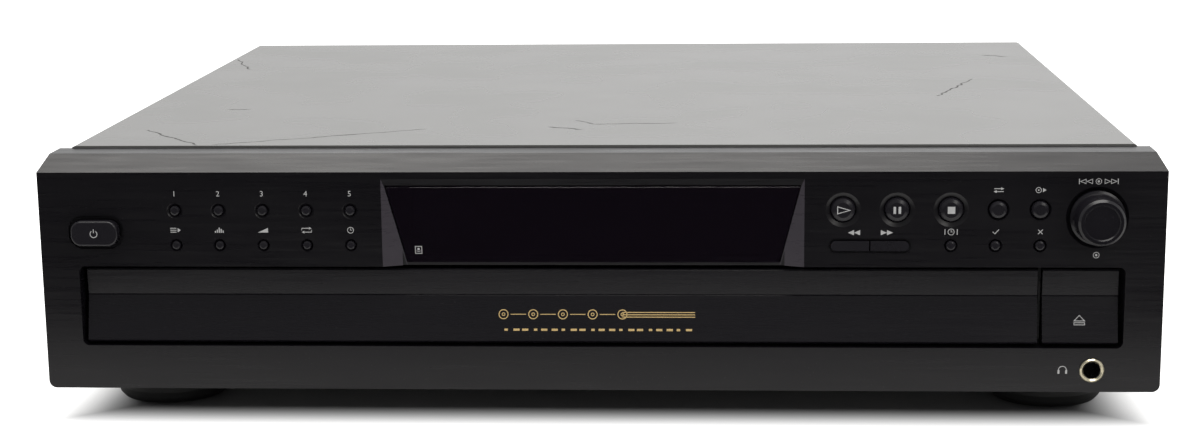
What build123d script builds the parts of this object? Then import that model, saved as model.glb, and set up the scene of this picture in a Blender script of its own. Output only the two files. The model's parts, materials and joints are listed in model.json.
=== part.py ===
from build123d import *
from math import acos, atan2, cos, degrees, hypot, pi, sin, tan
import os

# Frame: X to the right seen from the front, Y to the back, Z up, floor at z = 0, mm.

# Cabinet
PANEL_W = 430.0  # front panel, side to side
FACE_H = 85.4  # flat of the front face, up to its bevel
BEVEL_D, BEVEL_H = 7.0, 6.3  # bevel along the top of the face
END_BEVEL = 3.5  # bevel at the ends of that top
PANEL_D = 21.0  # front panel, front to back
BODY_D = 378.0  # front face to the cover's rear edge
COVER_IN = 7.5  # each side of the cover, in from the panel's end
COVER_W = PANEL_W - 2 * COVER_IN
COVER_STEP = 0.8  # cover's top above the panel's top
SHEET = 0.8  # cover steel
CHASSIS_T = 1.2  # chassis steel
FOOT_D, FOOT_H = 46.0, 17.0
FACE_LIFT = 16.0  # floor to the panel's lower edge
FOOT_INSET_X, FOOT_INSET_Y = 36.0, 54.0  # from the panel's end and face
REAR_FOOT_INSET = 40.0  # from the cover's rear edge
JACK_OUT = 10.0  # line jacks behind the cover
KNOB_OUT = 12.0  # jog knob in front of the face
WALL = 3.0  # plastic wall of the panel
SEAT = 0.2  # gap where fixed pieces sit together
RUN = 0.4  # gap between pieces that move past each other
BEARING = 0.05  # radial clearance of a shaft
CORNER_R = 3.0

# Drawer opening in the face, above the panel's lower edge
OPEN_END, OPEN_LOW, OPEN_HIGH = 14.5, 17.1, 48.6  # panel left at each end, lower and upper edge
OPEN_W = PANEL_W - 2 * OPEN_END
KEY_W = 31.3  # from the middle of the gap beside the drawer to the opening's end
SPLIT_X = OPEN_W / 2 - KEY_W
SPLIT = 1.9
SIDE_GAP, LOW_GAP, HIGH_GAP = 1.8, 1.2, 1.7
FRONT_TOP_D, CREASE_D, FRONT_LOW_D = 4.4, 5.1, 1.0  # depths behind the face
CREASE_UP = 19.5  # crease above the opening's lower edge
FRONT_BACK = 13.5  # back of the drawer front behind the face

# Display, above the panel's lower edge
DISPLAY_X, DISPLAY_W = -1.2, 161.3
DISPLAY_ROOM = DISPLAY_W / 2 + 3.35  # from its middle to the end of the cheeks
DISPLAY_TOP = 82.7
WINDOW_LOW, WINDOW_HIGH = 49.7, 79.8
WINDOW_LOW_D, WINDOW_HIGH_D = 3.6, 0.5
CHEEK_SLOPE = 2.45  # cheek width per depth
WINDOW_T = 2.5
WINDOW_EDGE = 0.45  # chamfer along the window's top
LIP, LIP_T = 2.5, 1.5
TUBE_W, TUBE_H, TUBE_T = 140.0, 26.0, 6.5

# Panel board
BOARD_D, BOARD_T = 16.0, 1.6  # board's front behind the face
SWITCH, SWITCH_H, NUB_D, NUB_H = 6.0, 3.4, 3.4, 1.0
KEY_TRAVEL = 0.6

# Small keys: name, x, z above the panel's edge, cap, dish, proud
KEY_SMALL, DISH_SMALL = 3.8, 6.2
KEY_MODE, DISH_MODE = 3.3, 4.9
KEY_PLAY, DISH_PLAY = 9.4, 13.3
KEY_MID, DISH_MID = 6.8, 8.4
KEY_EDIT, DISH_EDIT = 3.7, 5.2
DISC_X, DISC_PITCH, DISC_Z = 53.2 - PANEL_W / 2, 16.97, 70.5
MODE_Z = 57.0
PLAY_X, PLAY_PITCH, PLAY_Z = PANEL_W / 2 - 121.0, 20.3, 70.75
MID_X, MID_PITCH = PANEL_W / 2 - 62.8, 15.7
EDIT_X, EDIT_PITCH = PANEL_W / 2 - 80.3, 16.7
SEARCH_X0, SEARCH_X1 = PANEL_W / 2 - 125.6, PANEL_W / 2 - 96.0
SEARCH_SPLIT = PANEL_W / 2 - 110.8
SEARCH_Z, SEARCH_H = 56.9, 3.8
POWER_X, POWER_Z, POWER_W, POWER_H, POWER_OUT = 22.0 - PANEL_W / 2, 62.0, 18.2, 9.8, 3.5
POWER_TRAVEL = 3.0
EJECT_TRAVEL = 1.0
KNOB_X, KNOB_Z, KNOB_BASE, KNOB_FRONT = PANEL_W / 2 - 25.8, 67.8, 20.6, 17.6
KNOB_DISH = 23.6
KNOB_TRAVEL = 1.0
SHAFT_D = 6.0
JACK_X, JACK_Z, JACK_RING, JACK_BORE = PANEL_W / 2 - 25.9, 8.5, 9.2, 6.4

# Drawer, carousel and their drive
TABLE_X, TABLE_BACK = -15.3, 184.0  # carousel's centre, and behind the face
TRAY_W = 352.0
TRAY_Z, TRAY_FLOOR, TRAY_T = 40.0, 1.8, 2.0
TRAY_STRAIGHT = 280.0  # straight sides end behind the face
DRAWER_TRAVEL = 200.0
DISC_D, DISC_SMALL = 120.0, 80.0
WELL_D, WELL_CIRCLE = 120.8, 104.0
CAROUSEL_D = 332.0
WELLS = 5
WELL_FLOOR, WELL_DEPTH = 2.0, 3.8
HUB_HOLE, SLOT_W = 36.0, 30.0
DRUM_D, DRUM_H = 80.0, 12.8
POST_D = 10.0
RAIL_OUT, RAIL_T = 3.3, 3.0
RACK_X, RACK_MODULE = 95.0, 1.5
RACK_H = 6.4
LOADING_TEETH, LOADING_WHEEL, LOADING_PINION = 24, 60, 12
LOADING_BACK = 60.0  # loading gear's axis behind the face
MOTOR_D, MOTOR_H = 24.0, 11.8
PULLEY_D, MOTOR_PULLEY_D, BELT_D = 28.0, 7.0, 1.4
BELT_CENTRES = 45.0
TABLE_MODULE, RING_TEETH, TABLE_PINION = 1.25, 48, 12
WHEEL_TEETH, MOTOR_TEETH = 26, 10
GEAR_PLAY = 0.12  # each flank's clearance, share of module

# Disc drive
LIFT = 10.0
DECK_W, DECK_L, DECK_H, DECK_T = 92.0, 94.0, 9.5, 2.0
DECK_FRONT = 16.0  # deck's front before the spindle
PLATTER_D, CONE_D = 26.0, 14.8
DECK_MOTOR_D, DECK_MOTOR_H = 24.0, 7.0
ROD_D, ROD_SPREAD = 3.0, 38.0
PICKUP_START, PICKUP_TRAVEL = 24.0, 34.0
SLED_TEETH, SLED_MODULE = 16, 1.0
RAMP = 0.5  # slope of the lifting cam
CAM_TRAVEL = LIFT / RAMP
CAM_PIN = 3.0
PUCK_D, PUCK_NECK = 32.0, 12.0

# Rear
RCA_PITCH, RCA_OUT_D, RCA_BORE, RCA_COLLAR = 19.0, 8.3, 3.3, 10.6
RCA_X, RCA_Z = COVER_W / 2 - 73.5, 44.0
OPTICAL_X, OPTICAL_Z = COVER_W / 2 - 27.5, 42.0
GLAND_X, GLAND_Z, GLAND_BORE, GLAND_D = 27.5 - COVER_W / 2, 40.0, 6.5, 14.0

# Levels and planes that follow from the sizes above
DEPTH = KNOB_OUT + BODY_D + JACK_OUT
FACE = KNOB_OUT - DEPTH / 2
PANEL_BACK = FACE + PANEL_D
REAR = FACE + BODY_D
LOW = FACE_LIFT
BEVEL_Z = LOW + FACE_H
PANEL_TOP = BEVEL_Z + BEVEL_H
COVER_TOP = PANEL_TOP + COVER_STEP
BOARD = FACE + BOARD_D
CHASSIS_Z = FOOT_H + CHASSIS_T
FLOOR_Z = CHASSIS_Z + SEAT
FRAME_T = 2.0
FRAME_Z = FLOOR_Z + FRAME_T
TABLE_Y = FACE + TABLE_BACK
FLOOR_TOP = TRAY_Z + TRAY_FLOOR
CAROUSEL_Z = FLOOR_TOP + RUN
WELL_Z = CAROUSEL_Z + WELL_FLOOR
CAROUSEL_TOP = WELL_Z + WELL_DEPTH
DECK_TOP = TRAY_Z + TRAY_FLOOR - 0.3
TRAY_TOP = CAROUSEL_TOP + 1.0
TRAY_R = CAROUSEL_D / 2 + 4.0
WALL_Y = FACE + FRONT_BACK
HALF_TRAY = TRAY_W / 2
TRAY_END = FACE + TRAY_STRAIGHT
PLAY_Y = TABLE_Y + WELL_CIRCLE
PLAY_X_POS = TABLE_X
DECK_Z = CAROUSEL_Z - RUN - 0.3 - LIFT - DECK_H
DECK_Y0 = PLAY_Y - DECK_FRONT
DECK_Y1 = DECK_Y0 + DECK_L
FRAME_X0 = TABLE_X - HALF_TRAY - RAIL_OUT - RUN
FRAME_X1 = TABLE_X + HALF_TRAY + RAIL_OUT + RUN
FRAME_WALL = 2.5
FRAME_TOP = TRAY_TOP + 8.0
LOADING_X = RACK_X + RACK_MODULE * LOADING_TEETH / 2
LOADING_Y = FACE + LOADING_BACK
PULLEY_X = LOADING_X - (LOADING_WHEEL + LOADING_PINION) / 2
MOTOR_X = PULLEY_X - BELT_CENTRES


def rect(x0, x1, y0, y1, r=0.0):
    """Rectangle between two corners of a sketch, its corners rounded by r."""
    width, height = x1 - x0, y1 - y0
    shape = RectangleRounded(width, height, r) if r else Rectangle(width, height)
    return Pos((x0 + x1) / 2, (y0 + y1) / 2) * shape


def disc(x, y, d):
    return Pos(x, y) * Circle(d / 2)


def up(sketch, z0, z1):
    """Carries a plan sketch (X, Y) up from z0 to z1."""
    return extrude(Pos(0, 0, z0) * sketch, z1 - z0)


def back(sketch, y0, y1):
    """Carries a front view sketch (X, Z) from y0 back to y1."""
    return extrude(Plane((0, y1, 0), x_dir=(1, 0, 0), z_dir=(0, -1, 0)) * sketch, y1 - y0)


def across(sketch, x0, x1):
    """Carries a side view sketch (Y, Z) from x0 to x1."""
    return extrude(Plane((x0, 0, 0), x_dir=(0, 1, 0), z_dir=(1, 0, 0)) * sketch, x1 - x0)


def outline(*points):
    """Closed outline, turned counterclockwise so that it is carried the right way."""
    area = sum(a[0] * b[1] - b[0] * a[1] for a, b in zip(points, points[1:] + points[:1]))
    return Polygon(*(points if area > 0 else points[::-1]), align=None)


def turned(x, y, points):
    """Revolves (radius, z) points about the vertical through x, y."""
    profile = Plane.XZ * outline(*points)
    return Pos(x, y, 0) * revolve(profile, Axis.Z)


def turned_back(x, z, points):
    """Revolves (radius, y) points about the line through x, z along Y."""
    profile = Plane.XY * outline(*points)
    return Pos(x, 0, z) * revolve(profile, Axis.Y)


def involute(base, r):
    """Angle that an involute from the base circle has turned at radius r."""
    t = (max(r, base) ** 2 / base**2 - 1) ** 0.5
    return t - atan2(t, 1)


def gear(teeth, module, phase=0.0, bore=0.0):
    """Spur gear sketch with an involute tooth centred at the phase angle."""
    pitch = teeth * module / 2
    base, tip, root = pitch * cos(pi / 9), pitch + 0.9 * module, pitch - 1.15 * module
    half = pi / 2 / teeth - GEAR_PLAY * module / pitch + involute(base, pitch)
    radii = [max(base, root) + (tip - max(base, root)) * k / 3 for k in range(4)]
    points = []
    for n in range(teeth):
        middle = phase + 2 * pi * n / teeth
        flank = [(root, half - 0.02)] + [(r, half - involute(base, r)) for r in radii]
        turns = [(r, -a) for r, a in flank] + [(r, a) for r, a in reversed(flank)]
        points += [(r * cos(middle + a), r * sin(middle + a)) for r, a in turns]
    shape = outline(*points)
    return shape - Circle(bore / 2) if bore else shape


def ring_gear(teeth, module, outer, phase=0.0):
    """Internal gear sketch with a tooth space centred at the phase angle."""
    pitch = teeth * module / 2
    base, tip, root = pitch * cos(pi / 9), pitch - 0.5 * module, pitch + 1.2 * module
    half = pi / 2 / teeth + GEAR_PLAY * module / pitch + involute(base, pitch)
    radii = [tip + (root - tip) * k / 3 for k in range(4)]
    points = []
    for n in range(teeth):
        middle = phase + 2 * pi * n / teeth
        flank = [(r, half - involute(base, r)) for r in radii]
        turns = [(r, -a) for r, a in flank] + [(r, a) for r, a in reversed(flank)]
        points += [(r * cos(middle + a), r * sin(middle + a)) for r, a in turns]
    return Circle(outer / 2) - outline(*points)


def rack(module, teeth, back_x, pitch_x, start):
    """Rack sketch along Y from start, its teeth pointing from back_x to pitch_x."""
    side = 1 if pitch_x > back_x else -1
    pitch, slope = pi * module, tan(pi / 9)
    tip, root = pitch_x + side * 0.9 * module, pitch_x - side * 1.15 * module
    half = pitch / 4 - GEAR_PLAY * module
    points = [(back_x, start)]
    for n in range(teeth):
        middle = start + (n + 0.5) * pitch
        wide, narrow = half + 1.15 * module * slope, half - 0.9 * module * slope
        points += [(root, middle - wide), (tip, middle - narrow)]
        points += [(tip, middle + narrow), (root, middle + wide)]
    points.append((back_x, start + teeth * pitch))
    return outline(*points)


# Keys on the face: x, height above the panel's lower edge, cap, dish, how far it stands proud
KEYS = {}
for n in range(5):
    KEYS[f"disc_button_{n + 1}"] = (DISC_X + n * DISC_PITCH, DISC_Z, KEY_SMALL, DISH_SMALL, 0.6)
for n, name in enumerate(("play_mode", "peak_search", "fader", "repeat", "time")):
    KEYS[name + "_button"] = (DISC_X + n * DISC_PITCH, MODE_Z, KEY_MODE, DISH_MODE, 0.5)
for n, name in enumerate(("play", "pause", "stop")):
    KEYS[name + "_button"] = (PLAY_X + n * PLAY_PITCH, PLAY_Z, KEY_PLAY, DISH_PLAY, 0.9)
for n, name in enumerate(("exchange", "disc_skip")):
    KEYS[name + "_button"] = (MID_X + n * MID_PITCH, PLAY_Z, KEY_MID, DISH_MID, 0.8)
for n, name in enumerate(("time_edit", "check", "clear")):
    KEYS[name + "_button"] = (EDIT_X + n * EDIT_PITCH, MODE_Z, KEY_EDIT, DISH_EDIT, 0.6)
SEARCH = {
    "search_back_button": (SEARCH_X0, SEARCH_SPLIT - 0.25),
    "search_forward_button": (SEARCH_SPLIT + 0.25, SEARCH_X1),
}
KEY_GAP = 0.3  # round each key in its hole
DISH_D = 0.7  # depth of the dish round a key


def search_slot(grow):
    half = SEARCH_H / 2 + grow
    z = LOW + SEARCH_Z
    return rect(SEARCH_X0 - grow, SEARCH_X1 + grow, z - half, z + half, half - 0.01)


def power_pill(grow):
    w, h = POWER_W / 2 + grow, POWER_H / 2 + grow
    z = LOW + POWER_Z
    return rect(POWER_X - w, POWER_X + w, z - h, z + h, 4.0 + grow)


def window_line(depth):
    """Ends of the window's slope, moved back by a depth, as (y, z) low and high."""
    slope = (WINDOW_LOW_D - WINDOW_HIGH_D) / (WINDOW_HIGH - WINDOW_LOW)
    low = (FACE + WINDOW_LOW_D + 2 * slope + depth, LOW + WINDOW_LOW - 2)
    high = (FACE + WINDOW_HIGH_D - 2 * slope + depth, LOW + WINDOW_HIGH + 2)
    return low, high


def window_slab(d0, d1):
    (y0, z0), (y1, z1) = window_line(0)
    return outline((y0 + d0, z0 - 6), (y0 + d1, z0 - 6), (y0 + d1, z0), (y1 + d1, z1), (y1 + d1, z1 + 6),
                   (y1 + d0, z1 + 6), (y1 + d0, z1), (y0 + d0, z0))


def window_shape(grow):
    """Front view of the window, narrower at its foot between the cheeks."""
    wide = DISPLAY_W / 2 - CHEEK_SLOPE * WINDOW_HIGH_D + grow - 0.5
    narrow = DISPLAY_W / 2 - CHEEK_SLOPE * WINDOW_LOW_D + grow - 0.5
    low, high = LOW + WINDOW_LOW, LOW + WINDOW_HIGH
    return outline((DISPLAY_X - narrow, low), (DISPLAY_X + narrow, low), (DISPLAY_X + wide, high + grow),
                   (DISPLAY_X - wide, high + grow))


def display_recess():
    half, low, high = DISPLAY_W / 2, LOW + OPEN_HIGH - 0.5, LOW + DISPLAY_TOP
    deep = WINDOW_LOW_D + 0.5
    plan = outline((DISPLAY_X - half - CHEEK_SLOPE, FACE - 1), (DISPLAY_X + half + CHEEK_SLOPE, FACE - 1),
                   (DISPLAY_X + half - deep * CHEEK_SLOPE, FACE + deep),
                   (DISPLAY_X - half + deep * CHEEK_SLOPE, FACE + deep))
    (y0, z0), (y1, z1) = window_line(0)
    side = outline((FACE - 1, low), (y0 + 0.1, low), (y0, z0), (FACE + WINDOW_HIGH_D, LOW + WINDOW_HIGH),
                   (FACE, high), (FACE - 1, high))
    return up(plan, low, high) & across(side, DISPLAY_X - half - 5, DISPLAY_X + half + 5)


def panel_outline(inset=0.0):
    half = PANEL_W / 2 - inset
    shape = outline((-half, LOW + inset), (half, LOW + inset), (half, BEVEL_Z - inset * 0.5),
                    (half - END_BEVEL, PANEL_TOP - inset), (-half + END_BEVEL, PANEL_TOP - inset),
                    (-half, BEVEL_Z - inset * 0.5))
    return fillet(shape.vertices().sort_by(Axis.Y)[:2], CORNER_R) if not inset else shape


def panel_section(inset, end):
    return outline((FACE + inset, LOW + inset), (end, LOW + inset), (end, PANEL_TOP - inset),
                   (FACE + BEVEL_D + inset * 0.6, PANEL_TOP - inset), (FACE + inset, BEVEL_Z - inset * 0.6))


def opening(grow=0.0):
    return rect(-OPEN_W / 2 - grow, OPEN_W / 2 + grow, LOW + OPEN_LOW - grow, LOW + OPEN_HIGH + grow, 2.5 + grow)


def panel_posts():
    """Front view places of the posts that carry the panel board."""
    low, middle, high, foot = LOW + OPEN_HIGH + 5.5, LOW + MODE_Z + 6.7, PANEL_TOP - 9.0, LOW + JACK_Z
    left = [(37, low), (37, high), (61.7, middle), (112.6, high)]  # in from the panel's left end
    right = [(110.9, high), (71.6, middle), (37, high), (40, foot), (15.5, foot)]  # in from its right end
    return [(x - PANEL_W / 2, z) for x, z in left] + [(PANEL_W / 2 - x, z) for x, z in right]


def cover_inner(inset):
    half, top = COVER_W / 2 - SHEET - inset, PANEL_TOP - inset
    return rect(-half, half, LOW + 6, top, 1.5)


def front_panel():
    half = PANEL_W / 2
    body = back(panel_outline(), FACE, PANEL_BACK) & across(panel_section(0, PANEL_BACK), -half, half)
    hollow = back(panel_outline(WALL), FACE, PANEL_BACK + 1)
    body -= hollow & across(panel_section(WALL, PANEL_BACK + 1), -half, half)
    rim = back(panel_outline(), PANEL_BACK - 2.5, PANEL_BACK) & across(panel_section(0, PANEL_BACK), -half, half)
    inner = COVER_W / 2 - SHEET - SEAT - 2.0
    rim -= back(rect(-inner, inner, LOW - 1, PANEL_TOP - 2.2), PANEL_BACK - 3, PANEL_BACK + 1)
    tongue = back(cover_inner(SEAT) - rect(-inner, inner, LOW, PANEL_TOP - 2.2), PANEL_BACK - 2, PANEL_BACK + 6)
    body += rim
    body += tongue & back(rect(-half, half, LOW + 34, PANEL_TOP), PANEL_BACK - 2, PANEL_BACK + 6)
    collar = back(opening(2.0) - opening(), FACE + 1, BOARD - 1.0)
    body += collar - back(rect(-90, 90, LOW + OPEN_HIGH - 1, LOW + OPEN_HIGH + 3), FACE, FACE + WINDOW_LOW_D + 5)
    slope = back(rect(DISPLAY_X - DISPLAY_ROOM, DISPLAY_X + DISPLAY_ROOM, LOW + OPEN_HIGH, BEVEL_Z - 0.2), FACE + 0.1, FACE + 12)
    seat = slope & across(window_slab(-0.1, WINDOW_T - 0.1), DISPLAY_X - DISPLAY_ROOM, DISPLAY_X + DISPLAY_ROOM)
    body -= display_recess()
    body += seat - display_recess()
    lip = back(window_shape(LIP + 0.3), FACE - 1, FACE + 14)
    body -= lip & across(window_slab(WINDOW_T, WINDOW_T + 5), DISPLAY_X - DISPLAY_ROOM, DISPLAY_X + DISPLAY_ROOM)
    body -= back(window_shape(0.4) & rect(-90, 90, LOW + WINDOW_LOW - 0.3, BEVEL_Z), FACE - 1, FACE + 12)
    body -= back(opening(), FACE - 1, FACE + WALL + 2)
    rib_x = SPLIT_X
    body += back(rect(rib_x - 0.5, rib_x + 0.5, LOW + OPEN_LOW - 1, LOW + OPEN_HIGH + 1), FACE + 7, BOARD - 1.0)
    stop = rect(rib_x, OPEN_W / 2 + 1, LOW + OPEN_LOW - 1, LOW + OPEN_HIGH + 1)
    stop -= disc((rib_x + OPEN_W / 2) / 2, LOW + 33, 10.0)
    body += back(stop, BOARD - 2.5, BOARD - 1.0)
    for x, z, cap, dish, _ in KEYS.values():
        body -= back(disc(x, LOW + z, cap + 2 * KEY_GAP), FACE - 1, FACE + WALL + 1)
        body -= turned_back(x, LOW + z, [(0, FACE - 0.1), (dish / 2, FACE - 0.1), (dish / 2, FACE),
                                         (cap / 2 + KEY_GAP, FACE + DISH_D), (0, FACE + DISH_D)])
    body -= back(search_slot(KEY_GAP), FACE - 1, FACE + WALL + 1) + back(search_slot(0.9), FACE - 1, FACE + 0.4)
    body -= back(power_pill(KEY_GAP), FACE - 1, FACE + WALL + 1)
    body -= back(power_pill(1.6), FACE - 1, FACE + 1.2)
    well, z = FACE + 3.0, LOW + KNOB_Z
    body += back(disc(KNOB_X, z, KNOB_DISH + 2), FACE + 1, well + 1.5)
    body -= turned_back(KNOB_X, z, [(0, FACE - 1), (KNOB_DISH / 2, FACE - 1), (KNOB_DISH / 2, FACE),
                                    (KNOB_BASE / 2 + 0.5, FACE + 1.2), (KNOB_BASE / 2 + 0.5, well), (0, well)])
    body -= back(disc(KNOB_X, z, SHAFT_D + 1.2), FACE, well + 3)
    body -= back(disc(JACK_X, LOW + JACK_Z, JACK_RING + 2 * SEAT), FACE - 1, FACE + WALL + 1)
    for x, z in panel_posts():
        body += back(disc(x, z, 6.0) - disc(x, z, 2.4), FACE + WALL - 0.5, BOARD)
    for x in (-190, -95, 0, 95, 160):
        body += back(disc(x, LOW + 8, 7.0) - disc(x, LOW + 8, 2.4), FACE + WALL - 0.5, PANEL_BACK)
    return body


def display_window():
    (y0, z0), (y1, z1) = window_line(0)
    plate = back(window_shape(0.0), FACE - 1, FACE + 12)
    plate &= across(window_slab(0, WINDOW_T), DISPLAY_X - 100, DISPLAY_X + 100)
    plate = chamfer(plate.edges().filter_by(Axis.X).sort_by(Axis.Z)[-2:].sort_by(Axis.Y)[0], WINDOW_EDGE)
    lip = back(window_shape(LIP), FACE - 1, FACE + 14)
    lip &= across(window_slab(WINDOW_T, WINDOW_T + LIP_T), DISPLAY_X - 100, DISPLAY_X + 100)
    return plate + lip


def display_tube():
    z0 = LOW + WINDOW_LOW + 2.2
    x0 = DISPLAY_X - TUBE_W / 2
    glass = back(rect(x0, x0 + TUBE_W, z0, z0 + TUBE_H, 2.0), BOARD - TUBE_T, BOARD)
    glass = chamfer(glass.faces().sort_by(Axis.Y)[0].edges(), 0.8)
    tip = turned_back(0, 0, [(0, 0), (2.4, 0), (1.6, 3.5), (0, 5)])
    tip = Pos(x0 + TUBE_W - 1, BOARD - TUBE_T / 2, z0 + TUBE_H / 2) * Rot(0, 0, -90) * tip
    return glass + tip


def switch_places():
    places = [(x, LOW + z) for x, z, _, _, _ in KEYS.values()]
    places += [((a + b) / 2, LOW + SEARCH_Z) for a, b in SEARCH.values()]
    places.append(((SPLIT_X + OPEN_W / 2) / 2, LOW + 33))
    return places


def panel_board():
    half = COVER_W / 2 - SHEET - SEAT - 3.0
    low, top, leg = LOW + OPEN_HIGH + 2.6, PANEL_TOP - 4.0, FRAME_X1 + FRAME_WALL + 1.5
    plan = outline((-half, low), (leg, low), (leg, LOW + 4), (half, LOW + 4), (half, top), (-half, top))
    for x, z in panel_posts():
        plan -= disc(x, z, 2.8)
    body = back(plan, BOARD, BOARD + BOARD_T)
    for x, z in switch_places():
        side = SWITCH / 2
        body += back(rect(x - side, x + side, z - side, z + side), BOARD - SWITCH_H, BOARD)
        body += back(disc(x, z, NUB_D), BOARD - SWITCH_H - NUB_H, BOARD - SWITCH_H + 0.5)
    z = LOW + POWER_Z
    switch = back(rect(POWER_X - 7, POWER_X + 7, z - 7, z + 7, 1.0), BOARD - 6, BOARD)
    body += switch - back(disc(POWER_X, z, 4.6), BOARD - 7, BOARD - 0.4)
    z = LOW + KNOB_Z
    coder = back(rect(KNOB_X - 6, KNOB_X + 6, z - 6, z + 6, 0.8), BOARD - 8, BOARD)
    body += coder - back(disc(KNOB_X, z, 9 + 2 * BEARING), BOARD - 9, BOARD - 1.6)
    return body


def headphone_jack():
    z, r = LOW + JACK_Z, JACK_RING / 2
    shell = back(rect(JACK_X - 6, JACK_X + 6, z - 5.5, z + 5.5, 0.6), FACE + WALL + SEAT, BOARD - SEAT / 2)
    bush = turned_back(JACK_X, z, [(0, FACE - 0.9), (r - 0.5, FACE - 0.9), (r, FACE - 0.4),
                                   (r, FACE + WALL + 1), (0, FACE + WALL + 1)])
    bore = turned_back(JACK_X, z, [(0, FACE - 2), (JACK_BORE / 2 + 0.7, FACE - 2), (JACK_BORE / 2 + 0.7, FACE - 0.9),
                                   (JACK_BORE / 2, FACE - 0.2), (JACK_BORE / 2, FACE + 12), (0, FACE + 12)])
    return shell + bush - bore


def cap_shape(x, z, cap, proud, stem):
    """Round key: a domed cap, a flange inside the panel and a stem to its switch."""
    r, top, flange = cap / 2, FACE - proud, FACE + WALL + KEY_TRAVEL + 0.1
    end = BOARD - SWITCH_H - NUB_H - KEY_TRAVEL - 0.3
    points = [(0, top), (r * 0.62, top), (r * 0.88, top + 0.1 * r), (r, top + 0.35 * r), (r, flange),
              (r + 1.0, flange), (r + 1.0, flange + 1.2), (stem, flange + 1.2), (stem, end), (0, end)]
    return turned_back(x, LOW + z, points)


def round_key(name):
    x, z, cap, dish, proud = KEYS[name]
    return cap_shape(x, z, cap, proud, min(cap / 2, 2.6))


def search_key(name):
    x0, x1 = SEARCH[name]
    z, half = LOW + SEARCH_Z, SEARCH_H / 2
    middle, flange = (x0 + x1) / 2, FACE + WALL + KEY_TRAVEL + 0.1
    cap = back(search_slot(0) & rect(x0, x1, z - half, z + half), FACE - 0.5, flange + 0.5)
    foot = back(rect(x0 + 0.2, x1 - 0.2, z - half - 0.9, z + half + 0.9), flange, flange + 1.2)
    stem = back(disc(middle, z, 4.0), flange, BOARD - SWITCH_H - NUB_H - KEY_TRAVEL - 0.3)
    return cap + foot + stem


def power_button():
    cap = back(power_pill(0), FACE - POWER_OUT, FACE + WALL + POWER_TRAVEL + 0.5)
    cap = fillet(cap.faces().sort_by(Axis.Y)[0].edges(), 0.9)
    cap += back(power_pill(1.0), FACE + WALL + 0.2, FACE + WALL + 1.4)
    return cap + back(disc(POWER_X, LOW + POWER_Z, 4.0), FACE + WALL, BOARD - POWER_TRAVEL - 1.0)


def front_section(end):
    """Side view of the drawer's front: a short upper facet over a lower one that leans out to a lip."""
    low, high = LOW + OPEN_LOW + LOW_GAP, LOW + OPEN_HIGH - HIGH_GAP
    crease = LOW + OPEN_LOW + CREASE_UP
    return outline((FACE + FRONT_LOW_D + 0.9, low), (end, low), (end, high), (FACE + FRONT_TOP_D + 0.5, high),
                   (FACE + FRONT_TOP_D, high - 0.6), (FACE + CREASE_D, crease + 0.2),
                   (FACE + CREASE_D + 0.3, crease), (FACE + CREASE_D - 0.1, crease - 0.3),
                   (FACE + FRONT_LOW_D, low + 0.9))


def hollow_front(x0, x1, end, wall):
    shell = across(front_section(end), x0, x1)
    inner = outline((FACE + CREASE_D + wall, LOW + OPEN_LOW + LOW_GAP + wall), (end + 1, LOW + OPEN_LOW + LOW_GAP + wall),
                    (end + 1, LOW + OPEN_HIGH - HIGH_GAP - wall), (FACE + CREASE_D + wall, LOW + OPEN_HIGH - HIGH_GAP - wall))
    return shell - across(inner, x0 + wall, x1 - wall)


def drawer_front():
    x0, x1 = -OPEN_W / 2 + SIDE_GAP, SPLIT_X - SPLIT / 2
    body = hollow_front(x0, x1, WALL_Y - SEAT, 2.0)
    low, high = LOW + OPEN_LOW + LOW_GAP + 1, LOW + OPEN_HIGH - HIGH_GAP - 1
    for n in range(7):
        x = x0 + (n + 1) * (x1 - x0) / 8
        body += back(rect(x - 0.8, x + 0.8, low, high), FACE + CREASE_D + 1, WALL_Y - SEAT)
    return body


def open_close_button():
    x0, x1 = SPLIT_X + SPLIT / 2, OPEN_W / 2 - SIDE_GAP
    end = BOARD - 2.5 - EJECT_TRAVEL - 0.4
    body = hollow_front(x0, x1, end, 1.8)
    middle = (SPLIT_X + OPEN_W / 2) / 2
    tip = BOARD - SWITCH_H - NUB_H - KEY_TRAVEL - 0.3
    return body + back(disc(middle, LOW + 33, 6.4), FACE + CREASE_D + 1, tip - EJECT_TRAVEL + KEY_TRAVEL)


def jog_knob():
    z, b, f = LOW + KNOB_Z, KNOB_BASE / 2, KNOB_FRONT / 2
    front, foot = FACE - KNOB_OUT, FACE + 1.5
    points = [(0, front + 0.5), (f - 2.4, front + 0.5), (f - 2.0, front), (f - 0.9, front), (f, front + 0.9),
              (f + 0.7, FACE - 2.2), (f + 0.45, FACE - 2.0), (f + 0.45, FACE - 1.7), (b, FACE - 1.2), (b, foot), (0, foot)]
    body = turned_back(KNOB_X, z, points)
    return body - back(disc(KNOB_X, z, SHAFT_D), front + 3, foot + 1) - back(
        disc(KNOB_X, z, 16.5) - disc(KNOB_X, z, SHAFT_D + 3), FACE - 6, foot + 1)


def shaft_outline(grow):
    r = SHAFT_D / 2 + grow
    z = LOW + KNOB_Z
    return disc(KNOB_X, z, 2 * r) - rect(KNOB_X + SHAFT_D / 4 + grow, KNOB_X + r + 1, z - r - 1, z + r + 1)


def encoder_shaft():
    z, split = LOW + KNOB_Z, BOARD - 9.5
    full = back(disc(KNOB_X, z, SHAFT_D), FACE - KNOB_OUT + 3, split)
    return full + back(shaft_outline(0), split - 0.5, BOARD - 1.9 - KNOB_TRAVEL)


def encoder_rotor():
    z = LOW + KNOB_Z
    ring = back(disc(KNOB_X, z, 9.0) - shaft_outline(BEARING), BOARD - 7.8, BOARD - 1.9)
    return ring


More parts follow.
